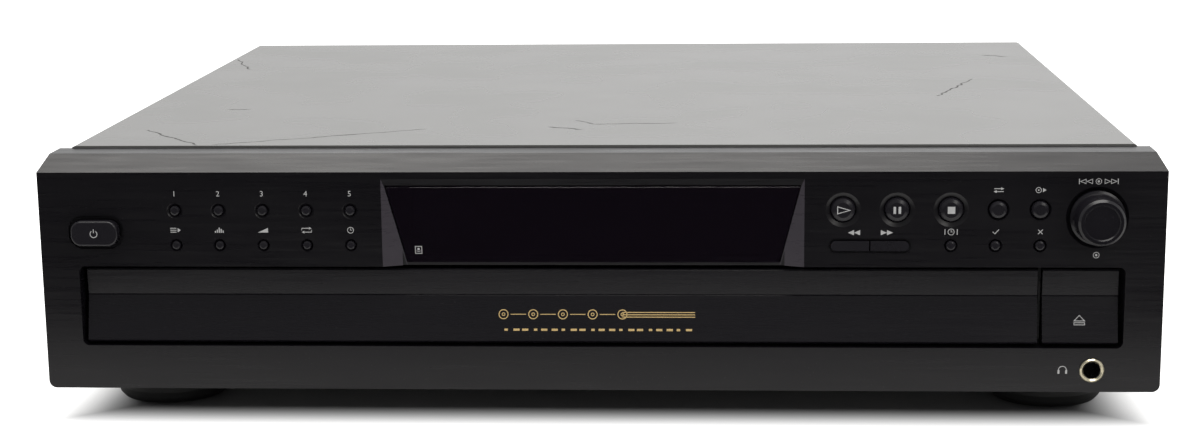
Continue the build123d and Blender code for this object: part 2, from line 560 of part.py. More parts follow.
def foot():
    r, edge = FOOT_D / 2, 5.5
    profile = outline((0, 3), (8, 3), (10, 0), (r - edge, 0), (r - edge * 0.45, edge * 0.16),
                      (r - edge * 0.15, edge * 0.5), (r, edge), (r, FOOT_H), (r - 2, FOOT_H), (r - 2, edge + 2),
                      (7, edge + 2), (7, FOOT_H), (0, FOOT_H))
    return revolve(Plane.XZ * profile, Axis.Z)


def foot_places():
    x = PANEL_W / 2 - FOOT_INSET_X
    return [(sx * x, y) for sx in (-1, 1) for y in (FACE + FOOT_INSET_Y, REAR - REAR_FOOT_INSET)]


def feet():
    one = foot()
    return Compound([Pos(x, y, 0) * one for x, y in foot_places()])


def board_sides():
    """Left edge of the board's arm beside the frame, left edge of its rear end, and its right edge."""
    return FRAME_X1 + FRAME_WALL + 2.5, COVER_W / 2 - 97.5, COVER_W / 2 - 3.5


def on_board(share):
    """x at a share of the way across the board's arm."""
    left, _, right = board_sides()
    return left + share * (right - left)


def board_posts():
    _, rear_left, right = board_sides()
    arm = [(on_board(0.54), y) for y in (-135, -30, 75)]
    return arm + [(rear_left + 40, 176), (right - 8, 150), (rear_left + 11, 150)]


def bottom_chassis():
    half, y0, y1 = COVER_W / 2 - SHEET - SEAT, PANEL_BACK + SEAT, REAR - 3.0 - SEAT
    t = CHASSIS_T
    section = outline((-half, FOOT_H), (half, FOOT_H), (half, 42), (half - t, 42), (half - t, CHASSIS_Z),
                      (-half + t, CHASSIS_Z), (-half + t, 42), (-half, 42))
    body = back(section, y0, y1)
    body += back(rect(-half + 1, half - 1, FOOT_H, LOW + OPEN_LOW - 2.6), y0, y0 + t)
    body += back(rect(-half + 1, half - 1, FOOT_H, 30), y1 - t, y1)
    for y in (-70, 40):
        bead = across(outline((y - 7, FOOT_H), (y - 4, FOOT_H - 1.4), (y + 4, FOOT_H - 1.4), (y + 7, FOOT_H)), -150, 150)
        trough = across(outline((y - 6, CHASSIS_Z), (y - 3.4, CHASSIS_Z - 1.4), (y + 3.4, CHASSIS_Z - 1.4),
                                (y + 6, CHASSIS_Z)), -149, 149)
        body = body + bead - trough
    for n in range(7):
        x = 13.5 + n * 9.0 - half
        body -= up(rect(x - 1.75, x + 1.75, 104, 112, 1.7), FOOT_H - 1, CHASSIS_Z + 1)
    for x, y in board_posts():
        body += up(disc(x, y, 6.0) - disc(x, y, 2.5), CHASSIS_Z - 0.2, 30)
    return body


def rear_panel():
    half, y1 = COVER_W / 2 - SHEET - SEAT, REAR - SHEET - SEAT
    y0 = y1 - 2.0
    plan = rect(-half, half, FOOT_H + 1.4, PANEL_TOP - SEAT, 2.0)
    plan -= rect(OPTICAL_X - 6.8, OPTICAL_X + 6.8, OPTICAL_Z - 6.2, OPTICAL_Z + 6.2)
    plan -= disc(GLAND_X, GLAND_Z, GLAND_D - 3 + 2 * SEAT)
    for k in (-0.5, 0.5):
        plan -= disc(RCA_X + k * RCA_PITCH, RCA_Z, RCA_COLLAR + 2 * SEAT)
    body = back(plan, y0 + 0.8, y1)
    body += back(rect(-half + 4, half - 4, PANEL_TOP - 1.4, PANEL_TOP - SEAT), y0 - 10, y0 + 1)
    return body


def top_cover():
    half, low = COVER_W / 2, LOW + 2.5
    outer = outline((-half, low), (half, low), (half, COVER_TOP), (-half, COVER_TOP))
    outer = fillet(outer.vertices().group_by(Axis.Y)[-1], 2.4)
    inner = outline((-half + SHEET, low - 1), (half - SHEET, low - 1), (half - SHEET, PANEL_TOP), (-half + SHEET, PANEL_TOP))
    inner = fillet(inner.vertices().group_by(Axis.Y)[-1], 1.6)
    body = back(outer - inner, PANEL_BACK, REAR)
    lip = rect(-half + 1, half - 1, COVER_TOP - 11, COVER_TOP - 0.3)
    return body + back(lip, REAR - SHEET, REAR)


def power_transformer():
    x0, y0, z0 = COVER_W / -2 + 8, 124.0, CHASSIS_Z
    core = up(rect(x0 + 6, x0 + 54, y0 + 6, y0 + 34), z0 + 10, z0 + 50)
    coil = up(rect(x0 + 14, x0 + 46, y0 - 1, y0 + 41, 5.0), z0 + 19, z0 + 41)
    bobbin = up(rect(x0 + 13, x0 + 47, y0 - 2, y0 + 42, 2.0), z0 + 17.5, z0 + 19.2)
    bobbin += up(rect(x0 + 13, x0 + 47, y0 - 2, y0 + 42, 2.0), z0 + 40.8, z0 + 42.5)
    strap = back(rect(x0 + 4.6, x0 + 55.4, z0, z0 + 51.4) - rect(x0 + 6, x0 + 54, z0 - 1, z0 + 50), y0 + 8, y0 + 32)
    ears = up(rect(x0 - 4, x0 + 6, y0 + 12, y0 + 28, 2.0), z0, z0 + 1.4) + up(
        rect(x0 + 54, x0 + 64, y0 + 12, y0 + 28, 2.0), z0, z0 + 1.4)
    for x in (x0, x0 + 60):
        ears -= up(disc(x, y0 + 20, 3.6), z0 - 1, z0 + 3)
    return core + coil + bobbin + strap + ears


def main_board():
    left, rear_left, right = board_sides()
    rear, low = REAR - 5.0, 30.0
    top = low + BOARD_T
    plan = outline((left, -152), (right, -152), (right, rear), (rear_left, rear), (rear_left, 128), (left, 128))
    for x, y in board_posts():
        plan -= disc(x, y, 3.0)
    body = up(plan, low, top)
    for share, y, d, h in ((0.32, 20, 12.5, 20), (0.76, 36, 10, 16), (0.34, 44, 8, 12), (0.76, 16, 6.3, 11),
                           (0.31, -100, 6.3, 11), (0.66, 104, 10, 16)):
        body += up(disc(on_board(share), y, d), top - 0.2, top + h)
    for share, wide, y0, y1, h in ((0.51, 18, -84, -66, 2.4), (0.48, 16, -58, -40, 2.2), (0.39, 14, -16, 0, 3.0),
                                   (0.48, 28, 60, 66, 9), (0.51, 22, -148, -142, 7)):
        half = min(wide / 2, on_board(0.9) - on_board(0.5))
        body += up(rect(on_board(share) - half, on_board(share) + half, y0, y1), top - 0.2, top + h)
    body += up(rect(rear_left + 30, rear_left + 46, 134, 150), top - 0.2, top + 2.2)
    x0, x1 = on_board(0.13), on_board(0.94)
    sink = rect(x0, x1, 84, 86)
    for x in (x0 + 1, (x0 + x1) / 2, x1 - 1):
        sink += rect(x - 1, x + 1, 85, 96)
    return body + up(sink, top - 0.2, 60)


def line_out_jacks():
    y0 = REAR - 3.0 - SEAT
    x0, x1 = RCA_X - RCA_PITCH / 2 - 7, RCA_X + RCA_PITCH / 2 + 7
    body = back(rect(x0, x1, 31.6 + SEAT, RCA_Z + 8, 0.8), y0 - 15, y0)
    for k in (-0.5, 0.5):
        x = RCA_X + k * RCA_PITCH
        body += back(disc(x, RCA_Z, RCA_COLLAR), y0 - 1, REAR)
        body += back(disc(x, RCA_Z, RCA_OUT_D), y0, REAR + JACK_OUT)
    for k in (-0.5, 0.5):
        x = RCA_X + k * RCA_PITCH
        body -= back(disc(x, RCA_Z, 6.9) - disc(x, RCA_Z, 5.6), REAR + 2, REAR + JACK_OUT + 1)
        body -= back(disc(x, RCA_Z, RCA_BORE), REAR - 6, REAR + JACK_OUT + 1)
    return body


def optical_output():
    y0, x, z = REAR - 16.0, OPTICAL_X, OPTICAL_Z
    body = back(rect(x - 6.5, x + 6.5, 31.6 + SEAT, z + 5.9), y0, REAR - 3.2)
    body += back(rect(x - 6.5, x + 6.5, z - 5.9, z + 5.9, 0.8), REAR - 4, REAR + 1.4)
    socket = outline((x - 4.5, z - 4.5), (x + 4.5, z - 4.5), (x + 4.5, z + 2.4), (x + 2.4, z + 4.5),
                     (x - 2.4, z + 4.5), (x - 4.5, z + 2.4))
    return body - back(socket, REAR - 7, REAR + 2)


def cord_gland():
    y = REAR - SHEET - SEAT
    ring = turned_back(GLAND_X, GLAND_Z, [(GLAND_BORE / 2, y - 6), (GLAND_D / 2 - 1, y - 6), (GLAND_D / 2 - 1, y - 1.6),
                                          (GLAND_D / 2 - 1.5, y - 1.4), (GLAND_D / 2 - 1.5, y), (GLAND_D / 2, y),
                                          (GLAND_D / 2, y + 2.2), (GLAND_D / 2 - 1, y + 3.2), (GLAND_BORE / 2, y + 3.2)])
    return ring


def frame_walls(grow=0.0):
    return FRAME_X0 - grow, FRAME_X1 + grow


def mechanism_frame():
    x0, x1, t = FRAME_X0, FRAME_X1, FRAME_WALL
    y0, y1 = PANEL_BACK + 7.0, TRAY_END + 4.0
    wx = DECK_W / 2 + RUN
    end = DECK_Y1 + 0.6
    plan = rect(x0 - t, x1 + t, y0, y1, 4.0) + (disc(TABLE_X, TABLE_Y, 2 * TRAY_R + 6) & rect(-300, 300, 0, end))
    plan += rect(TABLE_X - wx - t, TABLE_X + wx + t, 50, end + t)
    plan -= rect(TABLE_X - 36, TABLE_X + 36, PLAY_Y - 6, end - 8, 4.0)
    plan -= rect(x0 + 12, TABLE_X - 60, y0 + 14, 60, 10.0) + rect(LOADING_X - 40, x1 - 12, -80, 84, 10.0)
    plan -= rect(TABLE_X - 45, MOTOR_X + 60, -92, 40, 10.0)
    body = up(plan, FLOOR_Z, FRAME_Z)
    for side, wall in ((-1, x0), (1, x1)):
        section = outline((wall + side * t, FLOOR_Z), (wall + side * t, FRAME_TOP), (wall, FRAME_TOP),
                          (wall, TRAY_Z + 8.6), (wall - side * 3, TRAY_Z + 8.2), (wall - side * 3, TRAY_Z + 6.4),
                          (wall, TRAY_Z + 6.4), (wall, TRAY_Z + 2.6), (wall - side * 3, TRAY_Z + 2.6),
                          (wall - side * 3, TRAY_Z + 1.0), (wall, TRAY_Z - 1.5), (wall, FLOOR_Z))
        body += back(section, y0, y1)
        boss = rect(min(wall, wall + side * t), max(wall, wall + side * t), TRAY_Z, FRAME_TOP)
        body += back(boss, y0, y1)
        body += up(rect(wall + side * t - 3.5, wall + side * t + 3.5, PLAY_Y - 11, PLAY_Y - 5) &
                   rect(min(wall, wall + side * 4), max(wall, wall + side * 4), 0, 200), FLOOR_Z, FRAME_TOP)
    well = rect(TABLE_X - wx - t, TABLE_X + wx + t, DECK_Y0, end + t) - rect(TABLE_X - wx, TABLE_X + wx, 0, end)
    for y in (PLAY_Y, PLAY_Y + 60):
        well -= rect(TABLE_X - 60, TABLE_X + 60, y - 2 - RUN, y + 2 + RUN)
    body += up(well, FRAME_Z - 0.2, TRAY_Z - 0.6)
    cam0, cam1 = DECK_Y0 - 6 - RUN, DECK_Y0 - 1.8
    body += up(rect(TABLE_X - 74, TABLE_X + 52, cam0 - 1.6, cam0), FRAME_Z - 0.2, FRAME_Z + 3.6)
    body += up(rect(TABLE_X - 74, TABLE_X + 52, cam1, cam1 + 1.2), FRAME_Z - 0.2, FRAME_Z + 1.1)
    body += up(disc(LOADING_X, LOADING_Y, 8.0), FRAME_Z - 0.2, LOADING_LOW - RUN)
    body += up(disc(LOADING_X, LOADING_Y, 4.0), FRAME_Z - 0.2, LOADING_HIGH + 0.8)
    body += up(disc(PULLEY_X, LOADING_Y, 4.0), FRAME_Z - 0.2, PULLEY_TOP + 0.6)
    plate = disc(MOTOR_X, LOADING_Y, 29.0) - disc(MOTOR_X, LOADING_Y, MOTOR_PULLEY_D + 3)
    body += up(plate, MOTOR_Z - 1.8, MOTOR_Z)
    legs = rect(MOTOR_X - 14.5, MOTOR_X + 2, LOADING_Y - 14.5, LOADING_Y + 14.5) - disc(MOTOR_X, LOADING_Y, 25.0)
    return body + up(legs & disc(MOTOR_X, LOADING_Y, 29.0), FRAME_Z - 0.2, MOTOR_Z - 1.0)


PULLEY_Z = FRAME_Z + 0.8
PULLEY_H = 4.0
LOADING_LOW = FRAME_Z + 8.0
WHEEL_T = 3.4
LOADING_HIGH = TRAY_Z - 1.2
PULLEY_TOP = LOADING_LOW + WHEEL_T + 0.4
MOTOR_Z = PULLEY_Z + PULLEY_H + 2.2
GEAR_BORE = 4.0 + 2 * BEARING


def pulley(x, y, d, z):
    """Grooved pulley for the belt, lying level."""
    r, g = d / 2, BELT_D / 2 + 0.1
    middle = z + PULLEY_H / 2
    points = [(0, z), (r + 1.2, z), (r + 1.2, z + 0.7), (r, middle - g), (r, middle + g), (r + 1.2, z + PULLEY_H - 0.7),
              (r + 1.2, z + PULLEY_H), (0, z + PULLEY_H)]
    return turned(x, y, points)


def loading_gear():
    here = Pos(LOADING_X, LOADING_Y, 0)
    wheel = gear(LOADING_WHEEL, 1.0, pi + pi / LOADING_WHEEL) - disc(0, 0, 12)
    wheel = wheel - (disc(0, 0, 50) - disc(0, 0, 22)) + rect(-3, 3, -26, 26) + rect(-26, 26, -3, 3)
    body = here * up(wheel - disc(0, 0, 20), LOADING_LOW, LOADING_LOW + WHEEL_T)
    body += here * up(disc(0, 0, 24), LOADING_LOW, LOADING_LOW + WHEEL_T + 1.4)
    body += here * up(gear(LOADING_TEETH, RACK_MODULE, pi), LOADING_LOW + WHEEL_T + 1.2, LOADING_HIGH)
    return body - up(disc(LOADING_X, LOADING_Y, GEAR_BORE), LOADING_LOW - 1, LOADING_HIGH + 1)


def loading_pulley_gear():
    body = pulley(PULLEY_X, LOADING_Y, PULLEY_D, PULLEY_Z)
    small = gear(LOADING_PINION, 1.0, 0.0)
    body += Pos(PULLEY_X, LOADING_Y, 0) * up(small, PULLEY_Z + PULLEY_H - 0.2, PULLEY_TOP)
    return body - up(disc(PULLEY_X, LOADING_Y, GEAR_BORE), PULLEY_Z - 1, PULLEY_TOP + 1)


def loading_motor():
    body = turned(MOTOR_X, LOADING_Y, [(1 + BEARING, MOTOR_Z), (MOTOR_D / 2, MOTOR_Z), (MOTOR_D / 2, MOTOR_Z + MOTOR_H - 0.8),
                                       (MOTOR_D / 2 - 0.8, MOTOR_Z + MOTOR_H), (1 + BEARING, MOTOR_Z + MOTOR_H)])
    return body + up(disc(MOTOR_X, LOADING_Y, 7.0), MOTOR_Z + MOTOR_H - 2, MOTOR_Z + MOTOR_H + 0.4)


def loading_motor_pulley():
    body = pulley(MOTOR_X, LOADING_Y, MOTOR_PULLEY_D, PULLEY_Z)
    return body + up(disc(MOTOR_X, LOADING_Y, 2.0), PULLEY_Z + PULLEY_H - 0.2, MOTOR_Z + MOTOR_H - 3)


def loading_belt():
    """Belt round both pulleys, as two tangents and two arcs."""
    gap = 0.1
    outer, inner = [], []
    for grow, ring in ((gap + BELT_D, outer), (gap, inner)):
        a, b = PULLEY_D / 2 + grow, MOTOR_PULLEY_D / 2 + grow
        lean = acos((a - b) / BELT_CENTRES)
        for k in range(25):
            t = -(pi - lean) + (2 * (pi - lean)) * k / 24
            ring.append((PULLEY_X + a * cos(t), LOADING_Y + a * sin(t)))
        for k in range(13):
            t = (pi - lean) + (2 * lean) * k / 12
            ring.append((MOTOR_X + b * cos(t), LOADING_Y + b * sin(t)))
    middle = PULLEY_Z + PULLEY_H / 2
    return up(outline(*outer) - outline(*inner), middle - BELT_D / 2, middle + BELT_D / 2)


HUB_ANGLE = -2.2  # where the table's compound gear sits round the hub
DRIVE_R = TABLE_MODULE * (RING_TEETH - TABLE_PINION) / 2
MOTOR_R = 21.5
MESH_R = (WHEEL_TEETH + MOTOR_TEETH) / 2
SPREAD = acos((DRIVE_R**2 + MOTOR_R**2 - MESH_R**2) / (2 * DRIVE_R * MOTOR_R))
DRIVE_X, DRIVE_Y = TABLE_X + DRIVE_R * cos(HUB_ANGLE), TABLE_Y + DRIVE_R * sin(HUB_ANGLE)
TMOTOR_X = TABLE_X + MOTOR_R * cos(HUB_ANGLE + SPREAD)
TMOTOR_Y = TABLE_Y + MOTOR_R * sin(HUB_ANGLE + SPREAD)
TMOTOR_Z = TRAY_Z - 6.5
TMOTOR_TOP = TMOTOR_Z + MOTOR_H
WHEEL_LOW = TMOTOR_TOP + 0.7
RING_LOW = WHEEL_LOW + 2.9
RING_HIGH = RING_LOW + 3.2
DRUM_TOP = CAROUSEL_Z + DRUM_H


def tray_outline(inset):
    half = HALF_TRAY - inset
    box = rect(TABLE_X - half, TABLE_X + half, WALL_Y + inset, TRAY_END - inset)
    return box + disc(TABLE_X, TABLE_Y, 2 * (TRAY_R - inset))


def drawer_tray():
    bowl = disc(TABLE_X, TABLE_Y, 2 * (TRAY_R - TRAY_T))
    body = up(tray_outline(0), TRAY_Z, TRAY_TOP)
    corners = tray_outline(TRAY_T) - disc(TABLE_X, TABLE_Y, 2 * TRAY_R)
    body -= up(corners, TRAY_Z - 1, TRAY_TOP - TRAY_T)
    tooth_run = pi * RACK_MODULE
    count = int((DRAWER_TRAVEL + 24) / tooth_run)
    start = LOADING_Y - 3 * tooth_run + tooth_run / 2 - tooth_run / 2
    teeth = rack(RACK_MODULE, count, RACK_X - 7, RACK_X, start)
    body += up(teeth, TRAY_Z - RACK_H, TRAY_Z + 0.5)
    body += up(rect(RACK_X - 7, RACK_X - 4.5, start, start + count * tooth_run), TRAY_Z - RACK_H, TRAY_TOP - 1)
    body -= up(bowl, FLOOR_TOP, TRAY_TOP + 1)
    body += up(disc(TABLE_X, TABLE_Y, 2 * TRAY_R) - bowl, TRAY_Z, TRAY_TOP)
    for side in (-1, 1):
        edge = TABLE_X + side * (HALF_TRAY - 0.5)
        rail = rect(min(edge, edge + side * (RAIL_OUT + 0.5)), max(edge, edge + side * (RAIL_OUT + 0.5)),
                    WALL_Y + 14, TRAY_END - 1)
        body += up(rail, TRAY_Z + 3, TRAY_Z + 3 + RAIL_T)
    body += up(disc(TABLE_X, TABLE_Y, 2 * 150) - disc(TABLE_X, TABLE_Y, 2 * 148.4), FLOOR_TOP - 0.2, CAROUSEL_Z - 0.1)
    body += up(disc(TABLE_X, TABLE_Y, POST_D), FLOOR_TOP - 0.2, DRUM_TOP - 2.6)
    body += up(disc(DRIVE_X, DRIVE_Y, 6.0), FLOOR_TOP - 0.2, WHEEL_LOW - 0.3)
    body += up(disc(DRIVE_X, DRIVE_Y, 3.0), FLOOR_TOP - 0.2, RING_HIGH + 0.4)
    body -= up(disc(TMOTOR_X, TMOTOR_Y, MOTOR_D + 2 * SEAT), TRAY_Z - 1, FLOOR_TOP + 0.5)
    cut = DECK_W / 2 + FRAME_WALL + RUN + 1.5
    body -= up(rect(TABLE_X - cut, TABLE_X + cut, DECK_Y0 - 2.5, 300), TRAY_Z - 1, TRAY_TOP + 1)
    return body


def table_motor():
    r = MOTOR_D / 2
    body = turned(TMOTOR_X, TMOTOR_Y, [(1 + BEARING, TMOTOR_Z + 1), (2.4, TMOTOR_Z), (r - 0.8, TMOTOR_Z), (r, TMOTOR_Z + 0.8),
                                       (r, TMOTOR_TOP), (1 + BEARING, TMOTOR_TOP)])
    angle = degrees(HUB_ANGLE + SPREAD)
    ears = Pos(TMOTOR_X, TMOTOR_Y, 0) * Rot(0, 0, angle) * up(
        rect(-4, 4, -16.5, 16.5, 3.0) - disc(0, 0, 20), FLOOR_TOP, FLOOR_TOP + 1.0)
    return body + ears


def table_motor_pinion():
    toward = atan2(DRIVE_Y - TMOTOR_Y, DRIVE_X - TMOTOR_X)
    body = Pos(TMOTOR_X, TMOTOR_Y, 0) * up(gear(MOTOR_TEETH, 1.0, toward), WHEEL_LOW, WHEEL_LOW + 2.2)
    return body + up(disc(TMOTOR_X, TMOTOR_Y, 2.0), TMOTOR_Z + 3, WHEEL_LOW + 1)


def table_drive_gear():
    toward = atan2(TMOTOR_Y - DRIVE_Y, TMOTOR_X - DRIVE_X)
    wheel = gear(WHEEL_TEETH, 1.0, toward + pi / WHEEL_TEETH)
    body = Pos(DRIVE_X, DRIVE_Y, 0) * up(wheel, WHEEL_LOW, WHEEL_LOW + 2.4)
    body += Pos(DRIVE_X, DRIVE_Y, 0) * up(gear(TABLE_PINION, TABLE_MODULE, HUB_ANGLE), WHEEL_LOW + 2.2, RING_HIGH)
    return body - up(disc(DRIVE_X, DRIVE_Y, 3.0 + 2 * BEARING), WHEEL_LOW - 1, RING_HIGH + 1)


def carousel():
    r, d = CAROUSEL_D / 2, DRUM_D / 2
    here = Pos(TABLE_X, TABLE_Y, 0)
    plate = [(d - 1, CAROUSEL_TOP - 2), (r - 2, CAROUSEL_TOP - 2), (r - 2, CAROUSEL_Z + 0.6), (r, CAROUSEL_Z + 0.6),
             (r, CAROUSEL_TOP - 0.8), (r - 0.8, CAROUSEL_TOP), (d - 1, CAROUSEL_TOP)]
    body = turned(0, 0, plate)
    wells = [(WELL_CIRCLE * cos(pi / 2 + 2 * pi * k / WELLS), WELL_CIRCLE * sin(pi / 2 + 2 * pi * k / WELLS))
             for k in range(WELLS)]
    for x, y in wells:
        body += up(disc(x, y, WELL_D + 3.0) & disc(0, 0, CAROUSEL_D), CAROUSEL_Z, CAROUSEL_TOP - 1)
    for k, (x, y) in enumerate(wells):
        body -= up(disc(x, y, WELL_D), WELL_Z, CAROUSEL_TOP + 1) + up(disc(x, y, DISC_SMALL + 0.8), WELL_Z - 0.8, WELL_Z + 1)
        body -= up(disc(x, y, HUB_HOLE), CAROUSEL_Z - 1, CAROUSEL_TOP + 1)
        slot = up(rect(-SLOT_W / 2, SLOT_W / 2, WELL_CIRCLE, r + 2), CAROUSEL_Z - 1, CAROUSEL_TOP + 1)
        body -= Rot(0, 0, 360 / WELLS * k) * slot
    drum = [(0, DRUM_TOP - 2), (d - 2, DRUM_TOP - 2), (d - 2, CAROUSEL_Z), (d, CAROUSEL_Z), (d, DRUM_TOP - 3),
            (d - 1.2, DRUM_TOP - 0.9), (d - 4, DRUM_TOP), (0, DRUM_TOP)]
    body += turned(0, 0, drum)
    sleeve = POST_D / 2 + BEARING
    body += turned(0, 0, [(sleeve, CAROUSEL_Z), (sleeve + 2.5, CAROUSEL_Z), (sleeve + 2.5, DRUM_TOP - 1), (sleeve, DRUM_TOP - 1)])
    body += up(ring_gear(RING_TEETH, TABLE_MODULE, DRUM_D - 2, HUB_ANGLE), RING_LOW, DRUM_TOP - 1.5)
    return here * body


SEAT_Z = TRAY_Z - 2.9  # where a disc's face lies on the spindle, lowered
RACK_SIDE = ROD_SPREAD / 2 + 6.5
SLED_X = PLAY_X_POS - RACK_SIDE - SLED_TEETH * SLED_MODULE / 2
SLED_Y = PLAY_Y + PICKUP_START + 11.0
FLOOR_DECK = DECK_Z + DECK_T
ROD_Z = FLOOR_DECK + 4.6


def base_unit():
    x, half, t = PLAY_X_POS, DECK_W / 2, DECK_T
    body = up(rect(x - half, x + half, DECK_Y0, DECK_Y1, 3.0), DECK_Z, DECK_Z + DECK_H)
    body -= up(rect(x - half + t, x + half - t, DECK_Y0 + t, DECK_Y1 - t, 1.5), FLOOR_DECK, DECK_Z + DECK_H + 1)
    body -= up(rect(x - 14, x + 14, PLAY_Y + 18, DECK_Y1 - 8, 4.0), DECK_Z - 1, FLOOR_DECK + 1)
    for side in (-1, 1):
        rod_x = x + side * ROD_SPREAD / 2
        block = up(rect(rod_x - 3, rod_x + 3, DECK_Y0 + 1, PLAY_Y - 6), FLOOR_DECK - 0.2, ROD_Z + 2.6)
        body += block
        body -= back(disc(rod_x, ROD_Z, ROD_D + 0.04), PLAY_Y - 10, DECK_Y1 - t / 2)
        for y in (PLAY_Y, PLAY_Y + 60):
            tongue = rect(min(x + side * (half - 1), x + side * (half + FRAME_WALL)),
                          max(x + side * (half - 1), x + side * (half + FRAME_WALL)), y - 2, y + 2)
            body += up(tongue, DECK_Z, DECK_Z + DECK_H)
    for dx in CAM_PINS:
        body += back(disc(x + dx, CAM_PIN_Z, CAM_PIN), DECK_Y0 - 5.4, DECK_Y0 + 1)
    body += up(disc(SLED_X, SLED_Y, 3.0), FLOOR_DECK - 0.2, DECK_Z + DECK_H)
    return body


CAM_PINS = (-34.0, 14.0)
CAM_PIN_Z = DECK_Z + 3.0


def lift_cam_slider():
    """Bar with a ramp under each of the deck's pins."""
    lean = (1 + RAMP**2) ** 0.5
    y0, y1 = DECK_Y0 - 6, DECK_Y0 - 2.2
    base = FRAME_Z + 0.3
    body = back(rect(TABLE_X - 40, TABLE_X + 46, base, base + 1.6), y0, y1)
    for dx in CAM_PINS:
        x, z = TABLE_X + dx, CAM_PIN_Z - (CAM_PIN / 2 + 0.3) * lean
        low = (base + 0.2 - z) / RAMP
        run = CAM_TRAVEL + 5
        body += back(outline((x + low, base), (x + run, base), (x + run, z + run * RAMP), (x + low, base + 0.2)), y0, y1)
    return body


def spindle_motor():
    z0 = FLOOR_DECK + 0.1
    r = DECK_MOTOR_D / 2
    return turned(PLAY_X_POS, PLAY_Y, [(1 + BEARING, z0), (r - 0.6, z0), (r, z0 + 0.6), (r, z0 + DECK_MOTOR_H - 1.4),
                                       (6, z0 + DECK_MOTOR_H - 1.4), (6, z0 + DECK_MOTOR_H), (1 + BEARING, z0 + DECK_MOTOR_H)])


def spindle_hub():
    r, c = PLATTER_D / 2, CONE_D / 2
    z0 = FLOOR_DECK + 0.1 + DECK_MOTOR_H
    return turned(PLAY_X_POS, PLAY_Y, [(0, z0 - 5.5), (1, z0 - 5.5), (1, z0 + 0.4), (3.5, z0 + 0.4), (3.5, SEAT_Z - 1.8),
                                       (r - 1, SEAT_Z - 1.8), (r, SEAT_Z - 1.0), (r, SEAT_Z), (c, SEAT_Z), (c, SEAT_Z + 1.0),
                                       (c - 1.6, SEAT_Z + 2.2), (0, SEAT_Z + 2.2)])


def optical_pickup():
    x, y = PLAY_X_POS, PLAY_Y + PICKUP_START
    side = ROD_SPREAD / 2
    z0, z1 = FLOOR_DECK + 1.6, DECK_Z + DECK_H - 0.2
    lower = rect(x - side - 3.6, x + side + 3.6, y - 10, y + 16, 2.0)
    body = up(lower - disc(x, PLAY_Y, DECK_MOTOR_D + 2.4), z0, z1)
    start = SLED_Y - 12 * pi * SLED_MODULE
    count = 14
    strip = rack(SLED_MODULE, count, x - side - 3.2, x - RACK_SIDE, start)
    body += up(strip, z0, z0 + 4.0)
    body += up(rect(x - side - 4.4, x - side - 2.6, start, start + count * pi * SLED_MODULE), z0, z0 + 4.0)
    for s in (-1, 1):
        body -= back(disc(x + s * side, ROD_Z, ROD_D + 2 * BEARING), start - 2, y + 30)
    body += up(rect(x - 11.5, x + 11.5, y - 9.5, y + 10, 2.0), z1 - 0.5, z1 + 4.4)
    body += turned(x, y, [(0, z1 + 4), (4.0, z1 + 4), (4.0, z1 + 5.0), (3.0, z1 + 5.2), (0, z1 + 5.6)])
    return body


def guide_rods():
    rods = [back(disc(PLAY_X_POS + s * ROD_SPREAD / 2, ROD_Z, ROD_D), PLAY_Y - 9.5, DECK_Y1 - DECK_T / 2 - 0.2)
            for s in (-1, 1)]
    return Compound(rods)


def sled_gear():
    z0 = FLOOR_DECK + 1.0
    shape = gear(SLED_TEETH, SLED_MODULE, 0.0, 3.0 + 2 * BEARING)
    return Pos(SLED_X, SLED_Y, 0) * up(shape, z0, z0 + 4.2)


def clamp_bridge():
    x0, x1 = FRAME_X0 - FRAME_WALL, FRAME_X1 + FRAME_WALL
    z0 = FRAME_TOP + SEAT / 2
    plan = rect(x0, x1, PLAY_Y - 12, PLAY_Y + 12, 4.0) + disc(TABLE_X, PLAY_Y, 46)
    plan -= disc(TABLE_X, PLAY_Y, PUCK_NECK + 1.6)
    for x in (x0 + 6, x1 - 6):
        plan -= disc(x, PLAY_Y + 6, 3.4)
    body = up(plan, z0, z0 + 2.0)
    for y in (PLAY_Y - 12, PLAY_Y + 10):
        ribs = rect(x0 + 2, TABLE_X - 16, y, y + 2) + rect(TABLE_X + 16, x1 - 2, y, y + 2)
        body += up(ribs, z0 + 1, z0 + 8)
    ring = disc(TABLE_X, PLAY_Y, 46) - disc(TABLE_X, PLAY_Y, 42)
    return body + up(ring, z0 + 1, z0 + 5)


def clamp_puck():
    low, bridge = CAROUSEL_TOP + 0.4, FRAME_TOP + SEAT / 2
    r, n = PUCK_D / 2, PUCK_NECK / 2
    return turned(TABLE_X, PLAY_Y, [(0, low + 2.6), (8.4, low + 2.6), (9.0, low), (r - 0.6, low), (r, low + 0.6),
                                    (r, low + 3.4), (r - 1, low + 4.4), (n + 1, low + 4.4), (n, low + 5.4),
                                    (n, bridge + 2.3), (n + 4, bridge + 2.3), (n + 4, bridge + 3.6), (0, bridge + 4.4)])


def main():
    os.makedirs("parts", exist_ok=True)
    makers = [front_panel, display_window, display_tube, panel_board, headphone_jack, bottom_chassis, rear_panel,
              top_cover, feet, power_transformer, main_board, line_out_jacks, optical_output, cord_gland,
              mechanism_frame, loading_motor, loading_belt, clamp_bridge, loading_motor_pulley, loading_pulley_gear,
              loading_gear, drawer_tray, drawer_front, table_motor, table_motor_pinion, table_drive_gear, carousel,
              lift_cam_slider, base_unit, spindle_motor, spindle_hub, optical_pickup, guide_rods, sled_gear,
              clamp_puck, power_button, open_close_button, jog_knob, encoder_shaft, encoder_rotor]
    for make in makers:
        export_step(make(), f"parts/{make.__name__}.step")
        print(make.__name__)
    for name in KEYS:
        export_step(round_key(name), f"parts/{name}.step")
    for name in SEARCH:
        export_step(search_key(name), f"parts/{name}.step")


main()
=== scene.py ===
import json
import math

import bmesh
import bpy
from mathutils import Euler, Matrix, Vector

